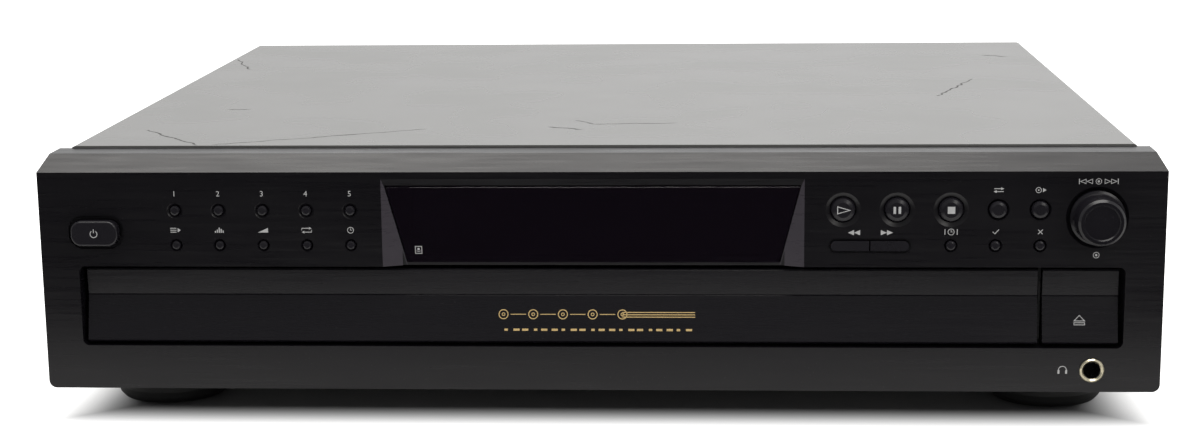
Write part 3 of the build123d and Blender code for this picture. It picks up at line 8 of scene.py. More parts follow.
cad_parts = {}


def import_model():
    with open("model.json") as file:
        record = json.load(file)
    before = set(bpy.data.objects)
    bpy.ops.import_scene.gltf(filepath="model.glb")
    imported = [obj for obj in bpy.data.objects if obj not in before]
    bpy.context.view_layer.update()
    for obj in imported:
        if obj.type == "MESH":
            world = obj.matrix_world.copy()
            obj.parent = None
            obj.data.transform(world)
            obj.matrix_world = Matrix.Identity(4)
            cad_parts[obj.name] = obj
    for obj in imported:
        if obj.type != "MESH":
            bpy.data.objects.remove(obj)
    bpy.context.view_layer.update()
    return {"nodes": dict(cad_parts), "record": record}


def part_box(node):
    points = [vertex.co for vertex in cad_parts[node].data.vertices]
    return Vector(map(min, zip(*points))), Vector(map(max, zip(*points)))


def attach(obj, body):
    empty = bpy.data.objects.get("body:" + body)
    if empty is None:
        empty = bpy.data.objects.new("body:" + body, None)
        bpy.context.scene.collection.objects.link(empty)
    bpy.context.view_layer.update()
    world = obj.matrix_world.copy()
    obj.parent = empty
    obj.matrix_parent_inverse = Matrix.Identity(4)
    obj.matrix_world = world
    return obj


MM = 0.001

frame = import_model()
nodes = frame["nodes"]
scene = bpy.context.scene

# Planes of the cabinet, in mm, read from the frame
panel_low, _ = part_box("front_panel")
_, cover_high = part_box("top_cover")
front_low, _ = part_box("drawer_front")
turntable_low, turntable_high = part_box("carousel")
LIP_DEPTH = 1.0  # the drawer's lip lies this far behind the flat of the face
FACE = front_low.y / MM - LIP_DEPTH
LOW = panel_low.z / MM
REAR = cover_high.y / MM
COVER_SIDE = cover_high.x / MM
COVER_TOP = cover_high.z / MM
TABLE_X = (turntable_low.x + turntable_high.x) / 2 / MM
TABLE_Y = (turntable_low.y + turntable_high.y) / 2 / MM
TABLE_TOP = 48.0  # upper face of the turntable's plate
PRINT = 0.04  # thickness of the printed signs
REAR_FACE = REAR - 1.0  # the rear panel lies 1 mm inside the cover's rear edge

# Face of the front panel: across from the middle, up from the panel's lower edge, back from the flat
LIP_Z, CREASE_Z, CREASE_DEPTH = 19.2, 36.3, 5.0
WINDOW_LOW_Z, WINDOW_HIGH_Z = 49.7, 79.8
WINDOW_LOW_DEPTH, WINDOW_HIGH_DEPTH = 3.6, 0.5
RECESS_LOW_Z, RECESS_HIGH_Z, CHEEK_X = 48.0, 83.5, 84.0
SOCKET_Z, GILT_RIM_R = 8.5, 3.32
KNOB_X = 189.2
DISCS = 5
DISC_KEYS_X, DISC_KEYS_PITCH = -161.8, 16.97
NUMBER_Z, MODE_SIGN_Z = 77.0, 62.9
SEARCH_SIGN_Z, EDIT_SIGN_Z, EXCHANGE_SIGN_Z = 62.0, 62.3, 78.3
RECEIVER_X, RECEIVER_Z = -68.3, 54.6

# Rear: phono sockets, and the board inside
RCA_PITCH, RCA_Z = 19.0, 44.0
BOARD_TOP = 31.6

# Photograph: a crop whose optical centre is below its middle; the camera in mm and radians
IMAGE_W, IMAGE_H = 1200.0, 445.0
FOCAL_PX, CENTRE_ROW = 2237.9, 270.0
CAMERA = (50.5, -1023.7, 241.5)
CAMERA_YAW, CAMERA_PITCH, CAMERA_ROLL = -0.0583, 0.2096, -0.0109


# ---------------------------------------------------------------- node trees

class Tree:
    """Adds nodes to a tree and joins them by name."""

    def __init__(self, tree):
        self.tree = tree

    def node(self, kind, inputs=(), **settings):
        made = self.tree.nodes.new(kind)
        for name, value in settings.items():
            setattr(made, name, value)
        for key, value in dict(inputs).items():
            if isinstance(value, bpy.types.NodeSocket):
                self.tree.links.new(value, made.inputs[key])
            else:
                made.inputs[key].default_value = value
        return made

    def math(self, operation, a, b=0.0):
        return self.node("ShaderNodeMath", {0: a, 1: b}, operation=operation).outputs[0]

    def vector(self, operation, a, b=(0, 0, 0), output="Vector"):
        made = self.node("ShaderNodeVectorMath", {0: a, 1: b}, operation=operation)
        return made.outputs[output]

    def combine(self, **axes):
        return self.node("ShaderNodeCombineXYZ", axes).outputs[0]

    def split(self, vector):
        return self.node("ShaderNodeSeparateXYZ", {0: vector}).outputs

    def remap(self, value, low, high, new_low=0.0, new_high=1.0):
        limits = {0: value, 1: low, 2: high, 3: new_low, 4: new_high}
        return self.node("ShaderNodeMapRange", limits).outputs[0]

    def mix(self, factor, a, b):
        return self.node("ShaderNodeMix", {0: factor, 6: a, 7: b}, data_type="RGBA").outputs[2]

    def mix_value(self, factor, a, b):
        return self.node("ShaderNodeMix", {0: factor, 2: a, 3: b}, data_type="FLOAT").outputs[0]

    def noise(self, where, size_mm, detail=2.0, rough=0.5):
        inputs = {"Vector": where, "Scale": 1 / (size_mm * MM), "Detail": detail, "Roughness": rough}
        return self.node("ShaderNodeTexNoise", inputs).outputs[0]

    def shifted(self, geometry, by):
        return self.node("GeometryNodeTransform", {"Geometry": geometry, "Translation": by}).outputs[0]


PLASTIC_IOR = 1.5


def colour4(colour, factor=1.0):
    return tuple(min(1.0, c * factor) for c in colour) + (1.0,)


def start_material(name):
    material = bpy.data.materials.new(name)
    material.use_nodes = True
    material.node_tree.nodes.clear()
    tree = Tree(material.node_tree)
    shader = tree.node("ShaderNodeBsdfPrincipled")
    output = tree.node("ShaderNodeOutputMaterial")
    tree.tree.links.new(shader.outputs[0], output.inputs["Surface"])
    where = tree.node("ShaderNodeTexCoord").outputs["Object"]
    return material, tree, shader, where


def finish_material(tree, shader, base, rough, height, bump_mm):
    links = tree.tree.links
    links.new(base, shader.inputs["Base Color"])
    links.new(rough, shader.inputs["Roughness"])
    bump = tree.node("ShaderNodeBump", {"Height": height, "Distance": bump_mm * MM, "Strength": 1.0})
    links.new(bump.outputs[0], shader.inputs["Normal"])


def stretched(tree, where, scale):
    return tree.node("ShaderNodeMapping", {"Vector": where, "Scale": scale}).outputs[0]


def scratch(tree, where, start, end, width):
    """1 along one wavering hairline between two places on the cover's top, in mm."""
    (x0, y0), (x1, y1) = start, end
    length = math.hypot(x1 - x0, y1 - y0)
    fade = 3.0  # each end fades over this length
    along_dir = ((x1 - x0) / length, (y1 - y0) / length, 0)
    across_dir = ((y0 - y1) / length, (x1 - x0) / length, 0)
    from_start = tree.vector("ADD", where, (-x0 * MM, -y0 * MM, 0))
    along = tree.vector("DOT_PRODUCT", from_start, along_dir, "Value")
    across = tree.vector("DOT_PRODUCT", from_start, across_dir, "Value")
    waver = tree.remap(tree.noise(where, 9.0, 1.0), 0.3, 0.7, -0.9 * MM, 0.9 * MM)
    off = tree.math("ABSOLUTE", tree.math("ADD", across, waver))
    line = tree.remap(off, 0.3 * width * MM, 0.6 * width * MM, 1.0, 0.0)
    ends = tree.math("MINIMUM", tree.remap(along, 0.0, fade * MM),
                     tree.remap(along, (length - fade) * MM, length * MM, 1.0, 0.0))
    return tree.math("MULTIPLY", line, ends)


# Start, end and width of each mark on the cover's top, in mm
COVER_MARKS = (((-188, -124), (-157, -166), 1.0), ((-152, -165), (-72, -124), 1.0),
               ((-204, 124), (-188, 80), 0.9), ((-168, -64), (-157, -65), 1.6),
               ((-23, -118), (-8, -127), 1.6), ((-13, -99), (-4, -112), 0.9),
               ((-5, -111), (30, -109), 1.1), ((143, -28), (166, 34), 0.7),
               ((180, 131), (193, 122), 1.6))


def cover_scratches(tree, where):
    """The few marks that years of use leave on the cover's top."""
    found = 0.0
    for start, end, width in COVER_MARKS:
        found = tree.math("MAXIMUM", found, scratch(tree, where, start, end, width))
    on_top = tree.remap(tree.split(where)["Z"], (COVER_TOP - 2) * MM, (COVER_TOP - 1) * MM)
    return tree.math("MULTIPLY", found, on_top)


def moulded(name, colour, rough=0.42, grain_mm=0.35, bump_mm=0.012, dust=0.25):
    """Moulded plastic: spark-eroded grain, slow shade changes, a little dust and handling wear."""
    material, tree, shader, where = start_material(name)
    grain = tree.noise(where, grain_mm, 2.0, 0.6)
    slow = tree.noise(where, 34.0, 3.0)
    specks = tree.remap(tree.noise(where, 0.9, 1.0), 0.70, 0.76)
    patches = tree.remap(tree.noise(where, 11.0, 2.0), 0.5, 0.75)
    base = tree.mix(slow, colour4(colour, 0.82), colour4(colour, 1.22))
    dusty = tree.math("MULTIPLY", tree.math("MULTIPLY", specks, patches), dust)
    base = tree.mix(dusty, base, colour4(tuple(c + 0.10 for c in colour)))
    handled = tree.remap(tree.noise(where, 17.0, 3.0), 0.3, 0.75, rough * 0.85, rough * 1.25)
    shader.inputs["IOR"].default_value = PLASTIC_IOR
    finish_material(tree, shader, base, handled, grain, bump_mm)
    return material


def painted_cheek_highlight(tree, where):
    """1 on the slanted cheeks at the ends of the display, where a paler colour is painted on as highlight
    for the light those facets catch.
    """
    facing = tree.node("ShaderNodeTexCoord").outputs["Normal"]
    sideways = tree.math("ABSOLUTE", tree.split(facing)["X"])
    slanted = tree.math("MULTIPLY", tree.remap(sideways, 0.22, 0.3),
                        tree.remap(sideways, 0.6, 0.7, 1.0, 0.0))
    place = tree.split(where)
    low, high = LOW + RECESS_LOW_Z, LOW + RECESS_HIGH_Z
    inside = tree.remap(tree.math("ABSOLUTE", place["X"]), (CHEEK_X - 1) * MM, CHEEK_X * MM, 1.0, 0.0)
    above = tree.remap(place["Z"], low * MM, (low + 0.5) * MM)
    below = tree.remap(place["Z"], (high - 0.5) * MM, high * MM, 1.0, 0.0)
    return tree.math("MULTIPLY", tree.math("MULTIPLY", slanted, inside),
                     tree.math("MULTIPLY", above, below))


def panel_plastic(name, colour, rough):
    """Front moulding: fine satin grain with faint level streaks, rubbed smoother in the middle."""
    material, tree, shader, where = start_material(name)
    grain = tree.noise(where, 0.3, 2.0, 0.6)
    streaks = tree.noise(stretched(tree, where, (0.03, 0.4, 1.0)), 0.9, 2.0)
    slow = tree.noise(stretched(tree, where, (0.4, 1, 1)), 46.0, 2.0)
    base = tree.mix(slow, colour4(colour, 0.85), colour4(colour, 1.2))
    dust = tree.math("MULTIPLY", tree.remap(tree.noise(where, 0.7, 1.0), 0.73, 0.78), 0.35)
    base = tree.mix(dust, base, colour4(tuple(c + 0.05 for c in colour)))
    # painted highlight: the slanted cheeks beside the display are given a paler colour
    base = tree.mix(painted_cheek_highlight(tree, where), base, (0.050, 0.044, 0.054, 1))
    worn = tree.math("ADD", tree.remap(streaks, 0.3, 0.7, -0.05, 0.05),
                     tree.remap(slow, 0.3, 0.7, rough - 0.03, rough + 0.05))
    finish_material(tree, shader, base, worn, grain, 0.008)
    return material


def painted_sheet(name, colour, rough, ior=1.5, scratched=False):
    """Satin paint on sheet steel: leathery orange peel, dust and, where scratched, the cover's marks."""
    material, tree, shader, where = start_material(name)
    peel = tree.noise(where, 0.55, 3.0, 0.65)
    cloud = tree.noise(where, 90.0, 1.0)
    base = tree.mix(cloud, colour4(colour, 0.97), colour4(colour, 1.03))
    dust = tree.math("MULTIPLY", tree.remap(tree.noise(where, 1.3, 1.0), 0.72, 0.80), 0.3)
    base = tree.mix(dust, base, colour4(tuple(c * 1.3 + 0.05 for c in colour)))
    worn = tree.remap(tree.noise(where, 40.0, 1.0), 0.3, 0.7, rough - 0.01, rough + 0.015)
    height = peel
    if scratched:
        marks = cover_scratches(tree, where)
        base = tree.mix(tree.math("MULTIPLY", marks, 0.8), base, colour4(colour, 0.15))
        worn = tree.math("ADD", worn, tree.math("MULTIPLY", marks, 0.55))
        height = tree.math("SUBTRACT", peel, tree.math("MULTIPLY", marks, 14.0))
    shader.inputs["IOR"].default_value = ior
    finish_material(tree, shader, base, worn, height, 0.014)
    return material


def plated(name, colour, rough=0.35, metallic=1.0):
    """Zinc-plated steel: spangled crystals, rolling lines and dulled patches."""
    material, tree, shader, where = start_material(name)
    shader.inputs["Metallic"].default_value = metallic
    crystals = tree.node("ShaderNodeTexVoronoi", {"Vector": where, "Scale": 1 / (9 * MM)})
    tone = tree.node("ShaderNodeSeparateColor", {0: crystals.outputs["Color"]}).outputs[0]
    rolling = tree.noise(stretched(tree, where, (1.0, 0.02, 1.0)), 0.5, 2.0)
    base = tree.mix(tone, colour4(colour, 0.86), colour4(colour, 1.08))
    worn = tree.math("ADD", tree.remap(tone, 0, 1, rough - 0.06, rough + 0.08),
                     tree.remap(rolling, 0.3, 0.7, -0.05, 0.05))
    finish_material(tree, shader, base, worn, rolling, 0.004)
    return material


def drawn_metal(name, colour, rough=0.25, line_mm=0.25):
    """Drawn or turned metal: close lines round the piece and slight tarnish."""
    material, tree, shader, where = start_material(name)
    shader.inputs["Metallic"].default_value = 1.0
    lines = tree.noise(stretched(tree, where, (0.05, 0.05, 1.0)), line_mm, 2.0)
    tarnish = tree.remap(tree.noise(where, 4.0, 3.0), 0.45, 0.75)
    base = tree.mix(tarnish, colour4(colour, 1.04), colour4(colour, 0.8))
    worn = tree.math("ADD", tree.remap(lines, 0.3, 0.7, rough - 0.05, rough + 0.05),
                     tree.math("MULTIPLY", tarnish, 0.12))
    finish_material(tree, shader, base, worn, lines, 0.003)
    return material


def gilt_socket(name, colour):
    """Socket with a gilt rim round a near-black throat, where the contacts are: partly the throat's own dark
    colour, partly painted shade down the hole.
    """
    material, tree, shader, where = start_material(name)
    low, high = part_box("headphone_jack")
    from_axis = tree.vector("ADD", where, (-(low.x + high.x) / 2, 0, -(LOW + SOCKET_Z) * MM))
    flat = tree.vector("MULTIPLY", from_axis, (1, 0, 1))
    radius = tree.vector("LENGTH", flat, output="Value")
    rim = tree.remap(radius, GILT_RIM_R * MM, (GILT_RIM_R + 0.04) * MM)
    rubbed = tree.noise(where, 1.2, 3.0)
    gilt = tree.mix(rubbed, colour4(colour, 0.85), colour4(colour, 1.1))
    tree.tree.links.new(rim, shader.inputs["Metallic"])
    # near-black inside the rim: the throat's own dark colour together with painted shade down the hole
    finish_material(tree, shader, tree.mix(rim, (0.010, 0.010, 0.011, 1), gilt),
                    tree.remap(rubbed, 0.3, 0.7, 0.16, 0.3), rubbed, 0.004)
    return material


def tinted_window(name):
    """Violet-black acrylic: clear enough to show the tube faintly, with hairline wipe marks and lint."""
    material, tree, shader, where = start_material(name)
    shader.inputs["Transmission Weight"].default_value = 0.88
    shader.inputs["IOR"].default_value = 1.42
    haze = tree.noise(where, 12.0, 3.0)
    base = tree.mix(haze, (0.030, 0.018, 0.036, 1), (0.042, 0.026, 0.050, 1))
    wipe = tree.noise(stretched(tree, where, (0.05, 1, 1)), 0.8, 2.0)
    worn = tree.remap(wipe, 0.3, 0.75, 0.03, 0.11)
    finish_material(tree, shader, base, worn, wipe, 0.0015)
    return material


def tube_glass(name):
    """Sealed display tube: grey getter haze over a dark grid."""
    material, tree, shader, where = start_material(name)
    haze = tree.noise(where, 18.0, 3.0)
    base = tree.mix(haze, (0.05, 0.055, 0.058, 1), (0.11, 0.12, 0.125, 1))
    grid = tree.noise(stretched(tree, where, (1, 1, 0.1)), 0.6, 1.0)
    finish_material(tree, shader, base, tree.remap(haze, 0.3, 0.7, 0.08, 0.2), grid, 0.002)
    return material


def board(name, colour, trace):
    """Circuit board: solder resist over copper tracks, with bright pads."""
    material, tree, shader, where = start_material(name)
    cells = tree.node("ShaderNodeTexVoronoi",
                      {"Vector": where, "Scale": 1 / (4.2 * MM), "Randomness": 0.7},
                      distance="CHEBYCHEV", feature="F1")
    tracks = tree.remap(cells.outputs["Distance"], 0.36, 0.40)
    spots = tree.node("ShaderNodeTexVoronoi",
                      {"Vector": where, "Scale": 1 / (3.1 * MM), "Randomness": 0.35})
    pads = tree.remap(spots.outputs["Distance"], 0.16, 0.20, 1.0, 0.0)
    base = tree.mix(tracks, colour4(colour), colour4(trace))
    base = tree.mix(pads, base, (0.42, 0.42, 0.40, 1))
    rough = tree.remap(tree.noise(where, 6.0, 3.0), 0.3, 0.7, 0.35, 0.5)
    finish_material(tree, shader, base, rough, tree.math("ADD", tracks, pads), 0.03)
    return material


def laminations(name, colour):
    """Transformer: stacked steel sheets, varnished."""
    material, tree, shader, where = start_material(name)
    shader.inputs["Metallic"].default_value = 0.35
    waves = tree.node("ShaderNodeTexWave",
                      {"Vector": where, "Scale": 1 / (4.5 * MM), "Distortion": 0.3},
                      bands_direction="Y")
    sheets = waves.outputs["Fac"]
    varnish = tree.noise(where, 7.0, 3.0)
    base = tree.mix(sheets, colour4(colour, 0.6), colour4(colour, 1.25))
    finish_material(tree, shader, base, tree.remap(varnish, 0.3, 0.7, 0.3, 0.55), sheets, 0.04)
    return material


def soft_rubber(name, colour):
    """Rubber: matt, finely ground, with a pale bloom."""
    material, tree, shader, where = start_material(name)
    ground = tree.noise(stretched(tree, where, (1, 1, 0.4)), 0.5, 2.0)
    bloom = tree.remap(tree.noise(where, 5.0, 3.0), 0.5, 0.8, 0.0, 0.5)
    base = tree.mix(bloom, colour4(colour), colour4(tuple(c + 0.03 for c in colour)))
    finish_material(tree, shader, base, tree.remap(ground, 0.3, 0.7, 0.6, 0.8), ground, 0.02)
    return material


def ink(name, colour, rough=0.5):
    """Screen-printed ink: mesh marks and rubbed spots."""
    material, tree, shader, where = start_material(name)
    mesh_marks = tree.noise(where, 0.16, 1.0)
    rubbed = tree.remap(tree.noise(where, 2.2, 2.0), 0.5, 0.8, 0.0, 0.45)
    base = tree.mix(rubbed, colour4(colour), colour4(colour, 0.72))
    worn = tree.remap(mesh_marks, 0.3, 0.7, rough - 0.06, rough + 0.06)
    finish_material(tree, shader, base, worn, mesh_marks, 0.003)
    return material


FINISHES = {
    "panel_plastic": panel_plastic("panel_moulding", (0.0052, 0.0045, 0.0064), 0.30),
    "front_plastic": panel_plastic("drawer_moulding", (0.0066, 0.0058, 0.0082), 0.26),
    "window_tint": tinted_window("smoked_acrylic"),
    "tube_glass": tube_glass("tube_glass"),
    "board_brown": board("paper_board", (0.30, 0.17, 0.07), (0.22, 0.115, 0.045)),
    "board_green": board("glass_board", (0.05, 0.15, 0.075), (0.035, 0.105, 0.055)),
    "jack_gold": gilt_socket("gilt_brass", (0.88, 0.81, 0.60)),
    "plated_steel": plated("zinc_plate", (0.62, 0.62, 0.60)),
    "cover_paint": painted_sheet("cover_paint", (0.15, 0.149, 0.142), 0.27, ior=1.95, scratched=True),
    "rear_paint": painted_sheet("rear_paint", (0.035, 0.035, 0.038), 0.45),
    "foot_plastic": moulded("foot_moulding", (0.014, 0.014, 0.014), 0.5, grain_mm=0.5, bump_mm=0.02),
    "core_iron": laminations("transformer_core", (0.20, 0.18, 0.15)),
    "black_plastic": moulded("black_moulding", (0.020, 0.020, 0.021), 0.4),
    "frame_plastic": moulded("frame_moulding", (0.032, 0.032, 0.034), 0.5, grain_mm=0.6, bump_mm=0.02),
    "motor_steel": drawn_metal("motor_can", (0.66, 0.66, 0.64), 0.3),
    "belt_rubber": soft_rubber("belt_rubber", (0.015, 0.015, 0.015)),
    "gear_acetal": moulded("gear_acetal", (0.80, 0.79, 0.74), 0.34, grain_mm=0.4, bump_mm=0.006,
                           dust=0.05),
    "tray_plastic": moulded("tray_moulding", (0.028, 0.028, 0.031), 0.42, grain_mm=0.45, bump_mm=0.016),
    "carousel_plastic": moulded("turntable_moulding", (0.034, 0.034, 0.037), 0.38, grain_mm=0.4),
    "rod_steel": drawn_metal("ground_rod", (0.80, 0.80, 0.80), 0.14, line_mm=0.5),
    "key_plastic": moulded("key_moulding", (0.0120, 0.0110, 0.0145), 0.26, grain_mm=0.3, bump_mm=0.004,
                           dust=0.15),
    "knob_plastic": moulded("knob_moulding", (0.0090, 0.0082, 0.0110), 0.22, grain_mm=0.3, bump_mm=0.003,
                            dust=0.12),
    "shaft_alloy": drawn_metal("shaft_alloy", (0.75, 0.75, 0.76), 0.28, line_mm=0.2),
}
WHITE_INK = ink("white_ink", (0.50, 0.50, 0.50))
GOLD_INK = ink("gold_ink", (0.66, 0.47, 0.20), 0.38)
TABLE_INK = ink("table_ink", (0.34, 0.34, 0.35))
ENAMEL = drawn_metal("wire_enamel", (0.55, 0.24, 0.10), 0.28)
WHITE_RING = moulded("white_ring", (0.70, 0.70, 0.68), 0.35, grain_mm=0.4, bump_mm=0.005, dust=0.1)
RED_RING = moulded("red_ring", (0.50, 0.02, 0.02), 0.35, grain_mm=0.4, bump_mm=0.005, dust=0.1)
SCREW_BLACK = plated("screw_black", (0.05, 0.05, 0.055), 0.42, metallic=0.8)
SCREW_ZINC = plated("screw_zinc", (0.66, 0.64, 0.58), 0.3)

for row in frame["record"]["subparts"]:
    cad_mesh = nodes[row["node"]].data
    cad_mesh.materials.clear()
    cad_mesh.materials.append(FINISHES[row["material_slot"]])


# ---------------------------------------------------------------- printed signs
# A sign is a list of (outer, inner) loops in mm about its own middle; inner is None where it is filled.

def plate(*points):
    return list(points), None


def loop_offset(points, distance):
    """Closed loop moved outwards by a distance, its corners mitred."""
    area = sum(a[0] * b[1] - b[0] * a[1] for a, b in zip(points, points[1:] + points[:1]))
    side = math.copysign(1.0, area)
    moved = []
    for before, here, after in zip(points[-1:] + points[:-1], points, points[1:] + points[:1]):
        a = Vector((here[0] - before[0], here[1] - before[1])).normalized()
        b = Vector((after[0] - here[0], after[1] - here[1])).normalized()
        normal_a, normal_b = Vector((a.y, -a.x)) * side, Vector((b.y, -b.x)) * side
        middle = (normal_a + normal_b).normalized()
        reach = distance / max(0.35, middle.dot(normal_a))
        moved.append((here[0] + middle.x * reach, here[1] + middle.y * reach))
    return moved


def outlined(points, width):
    return loop_offset(points, width / 2), loop_offset(points, -width / 2)


def arc_points(x, y, r, start=0.0, end=360.0, steps=28):
    turn = math.radians(end - start)
    count = steps if abs(end - start) >= 360 else steps + 1
    return [(x + r * math.cos(math.radians(start) + turn * k / steps),
             y + r * math.sin(math.radians(start) + turn * k / steps)) for k in range(count)]


def ring(x, y, r, width):
    return arc_points(x, y, r + width / 2), arc_points(x, y, r - width / 2)


def dot(x, y, r):
    return arc_points(x, y, r, steps=16), None


def bar(x, y, w, h):
    left, right, low, high = x - w / 2, x + w / 2, y - h / 2, y + h / 2
    return plate((left, low), (right, low), (right, high), (left, high))


def stroke(points, width):
    """Open line of a width, its ends square."""
    left, right = [], []
    for k, (x, y) in enumerate(points):
        a = Vector(points[max(0, k - 1)])
        b = Vector(points[min(len(points) - 1, k + 1)])
        along = (b - a).normalized()
        left.append((x - along.y * width / 2, y + along.x * width / 2))
        right.append((x + along.y * width / 2, y - along.x * width / 2))
    return left[::-1] + right, None


def arrow_right(x, y, w, h):
    return [(x - w / 2, y - h / 2), (x + w / 2, y), (x - w / 2, y + h / 2)]


def scaled(points, across, up):
    return [(x * across, y * up) for x, y in points] if points else None


def mirrored(shapes):
    return [(scaled(outer, -1, 1), scaled(inner, -1, 1)) for outer, inner in shapes]


def turned_over(shapes):
    """Half a turn about the sign's middle."""
    return [(scaled(outer, -1, -1), scaled(inner, -1, -1)) for outer, inner in shapes]


def play_sign():
    return [outlined(arrow_right(0.2, 0, 4.6, 2.7), 0.34)]


def pause_sign():
    return [bar(-0.95, 0, 0.95, 2.7), bar(0.95, 0, 0.95, 2.7)]


def stop_sign():
    return [bar(0, 0, 2.8, 2.7)]


def search_sign(forward):
    shapes = [plate(*arrow_right(-1.15, 0, 2.3, 2.0)), plate(*arrow_right(1.15, 0, 2.3, 2.0))]
    return shapes if forward else mirrored(shapes)


def skip_signs():
    """Back to the start and on to the next, either side of a gap."""
    right = [outlined(arrow_right(x, 0, 2.0, 1.7), 0.22) for x in (3.3, 5.7)]
    right.append(bar(7.2, 0, 0.3, 2.1))
    return right + mirrored(right) + [dot(0, 0, 0.45), ring(0, 0, 1.05, 0.22)]


def eject_sign():
    triangle = [(-2.0, -0.4), (2.0, -0.4), (0, 1.7)]
    slot = [(-2.0, -1.9), (2.0, -1.9), (2.0, -1.1), (-2.0, -1.1)]
    return [outlined(triangle, 0.3), outlined(slot, 0.28)]


def power_sign():
    return [stroke(arc_points(0, 0, 1.35, 125, 415, 22), 0.3), bar(0, 1.15, 0.3, 1.5)]


def headphone_sign():
    band = stroke(arc_points(0, 0.1, 1.5, 0, 180, 18), 0.3)
    return [band, bar(-1.45, -0.6, 0.75, 1.5), bar(1.45, -0.6, 0.75, 1.5)]


def order_sign():
    """Order of play: an arrow over a list."""
    return [bar(-0.9, y, 2.4, 0.28) for y in (-0.75, 0, 0.75)] + [plate(*arrow_right(1.35, 0, 1.2, 1.7))]


def level_sign():
    return [bar(-1.5 + 0.75 * k, (h - 2.0) / 2, 0.45, h) for k, h in enumerate((0.7, 1.2, 2.0, 1.5, 0.9))]


def fade_sign():
    return [plate((-2.0, -0.9), (2.0, -0.9), (2.0, 0.9))]


def repeat_sign():
    half = [stroke([(-1.9, -0.1), (-1.9, 0.75), (1.0, 0.75)], 0.28),
            plate((0.9, 1.3), (1.9, 0.75), (0.9, 0.2))]
    return half + turned_over(half)


def clock_sign():
    return [ring(0, 0, 1.15, 0.24), stroke([(0, 0.75), (0, 0), (0.55, 0)], 0.24)]


def clock_edit_sign():
    return clock_sign() + [bar(2.3, 0, 0.3, 2.1), bar(-2.3, 0, 0.3, 2.1)]


def tick_sign():
    return [stroke([(-1.1, 0.05), (-0.35, -0.8), (1.2, 0.9)], 0.32)]


def clear_sign():
    whole = stroke([(-0.85, -0.85), (0.85, 0.85)], 0.3)
    halves = [stroke([(-0.85, 0.85), (-0.15, 0.15)], 0.3), stroke([(0.15, -0.15), (0.85, -0.85)], 0.3)]
    return [whole] + halves


def swap_sign():
    """Two arrows past each other."""
    upper = [bar(-0.5, 0.55, 2.6, 0.28), plate((0.8, 1.1), (2.0, 0.55), (0.8, 0.0))]
    return upper + turned_over(upper)


def next_disc_sign():
    return [ring(-0.9, 0, 1.0, 0.24), dot(-0.9, 0, 0.3), plate(*arrow_right(1.35, 0, 1.3, 1.6))]


def press_sign():
    return [ring(0, 0, 1.1, 0.24), dot(0, 0, 0.45)]


def receiver_sign():
    border = [(-1.25, -1.4), (1.25, -1.4), (1.25, 1.4), (-1.25, 1.4)]
    bow = stroke(arc_points(0, 0.35, 1.0, 215, 325, 8), 0.2)
    return [outlined(border, 0.26), dot(0, 0.35, 0.5), bow]


def gold_band():
    """Five small discs joined by a level rule, and three longer rules beside them."""
    first, pitch = -34, 11.5
    shapes = []
    for k in range(DISCS):
        x = first + pitch * k
        shapes += [ring(x, 0, 1.75, 0.36), ring(x, 0, 0.55, 0.3)]
        if k < DISCS - 1:
            shapes.append(bar(x + pitch / 2, 0, 6.0, 0.3))
    return shapes + [bar(26, y, 28, 0.34) for y in (0.8, -0.1, -1.0)]


def gold_rule():
    """Long and short dashes in a row."""
    shapes = []
    for k in range(20):
        x = -37 + 3.7 * k + (0.35 if k % 2 else 0)
        shapes.append(bar(x, 0, 2.4 if k % 3 else 1.3, 0.85))
    return shapes


CAPITAL_SHARE = 0.70  # height of a figure as a share of the letters' size


def evaluated_mesh(holder):
    """Plain mesh of an object as its curve or its modifiers make it."""
    bpy.context.view_layer.update()
    graph = bpy.context.evaluated_depsgraph_get()
    return bpy.data.meshes.new_from_object(holder.evaluated_get(graph))


def numeral(text, height):
    """Outline of plain figures from Blender's own letters, as a flat mesh, in mm about its middle."""
    curve = bpy.data.curves.new("figure", "FONT")
    curve.body = text
    curve.size = height / CAPITAL_SHARE
    curve.resolution_u = 4
    curve.align_x, curve.align_y = "CENTER", "CENTER"
    holder = bpy.data.objects.new("figure", curve)
    scene.collection.objects.link(holder)
    mesh = evaluated_mesh(holder)
    bpy.data.objects.remove(holder)
    return mesh


def upright(x, y, z, lean=0.0, turn=0.0):
    """Place in mm for a flat sign: u to the right, v up, its face to the front unless it's turned."""
    stand = Euler((math.radians(90) + lean, 0, turn)).to_matrix().to_4x4()
    return Matrix.Translation(Vector((x, y, z)) * MM) @ stand


def to_face(x, z):
    """Place on the flat of the face."""
    return upright(x, FACE, LOW + z)


def to_front(x, z):
    """Place on the drawer's lower facet, which leans out to its lip."""
    share = (CREASE_Z - z) / (CREASE_Z - LIP_Z)
    depth = CREASE_DEPTH - share * (CREASE_DEPTH - LIP_DEPTH)
    lean = math.atan((CREASE_DEPTH - LIP_DEPTH) / (CREASE_Z - LIP_Z))
    return upright(x, FACE + depth, LOW + z, -lean)


def to_window(x, z, proud=0.02):
    """Place on the window, which leans back to its lower edge."""
    lean = math.atan((WINDOW_LOW_DEPTH - WINDOW_HIGH_DEPTH) / (WINDOW_HIGH_Z - WINDOW_LOW_Z))
    depth = WINDOW_LOW_DEPTH - (z - WINDOW_LOW_Z) * math.tan(lean) - proud
    return upright(x, FACE + depth, LOW + z, lean)


def to_rear(x, z, y):
    return upright(x, y, z, turn=math.radians(180))


def finish_piece(piece, body, material):
    piece.data.materials.clear()
    piece.data.materials.append(material)
    scene.collection.objects.link(piece)
    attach(piece, body)


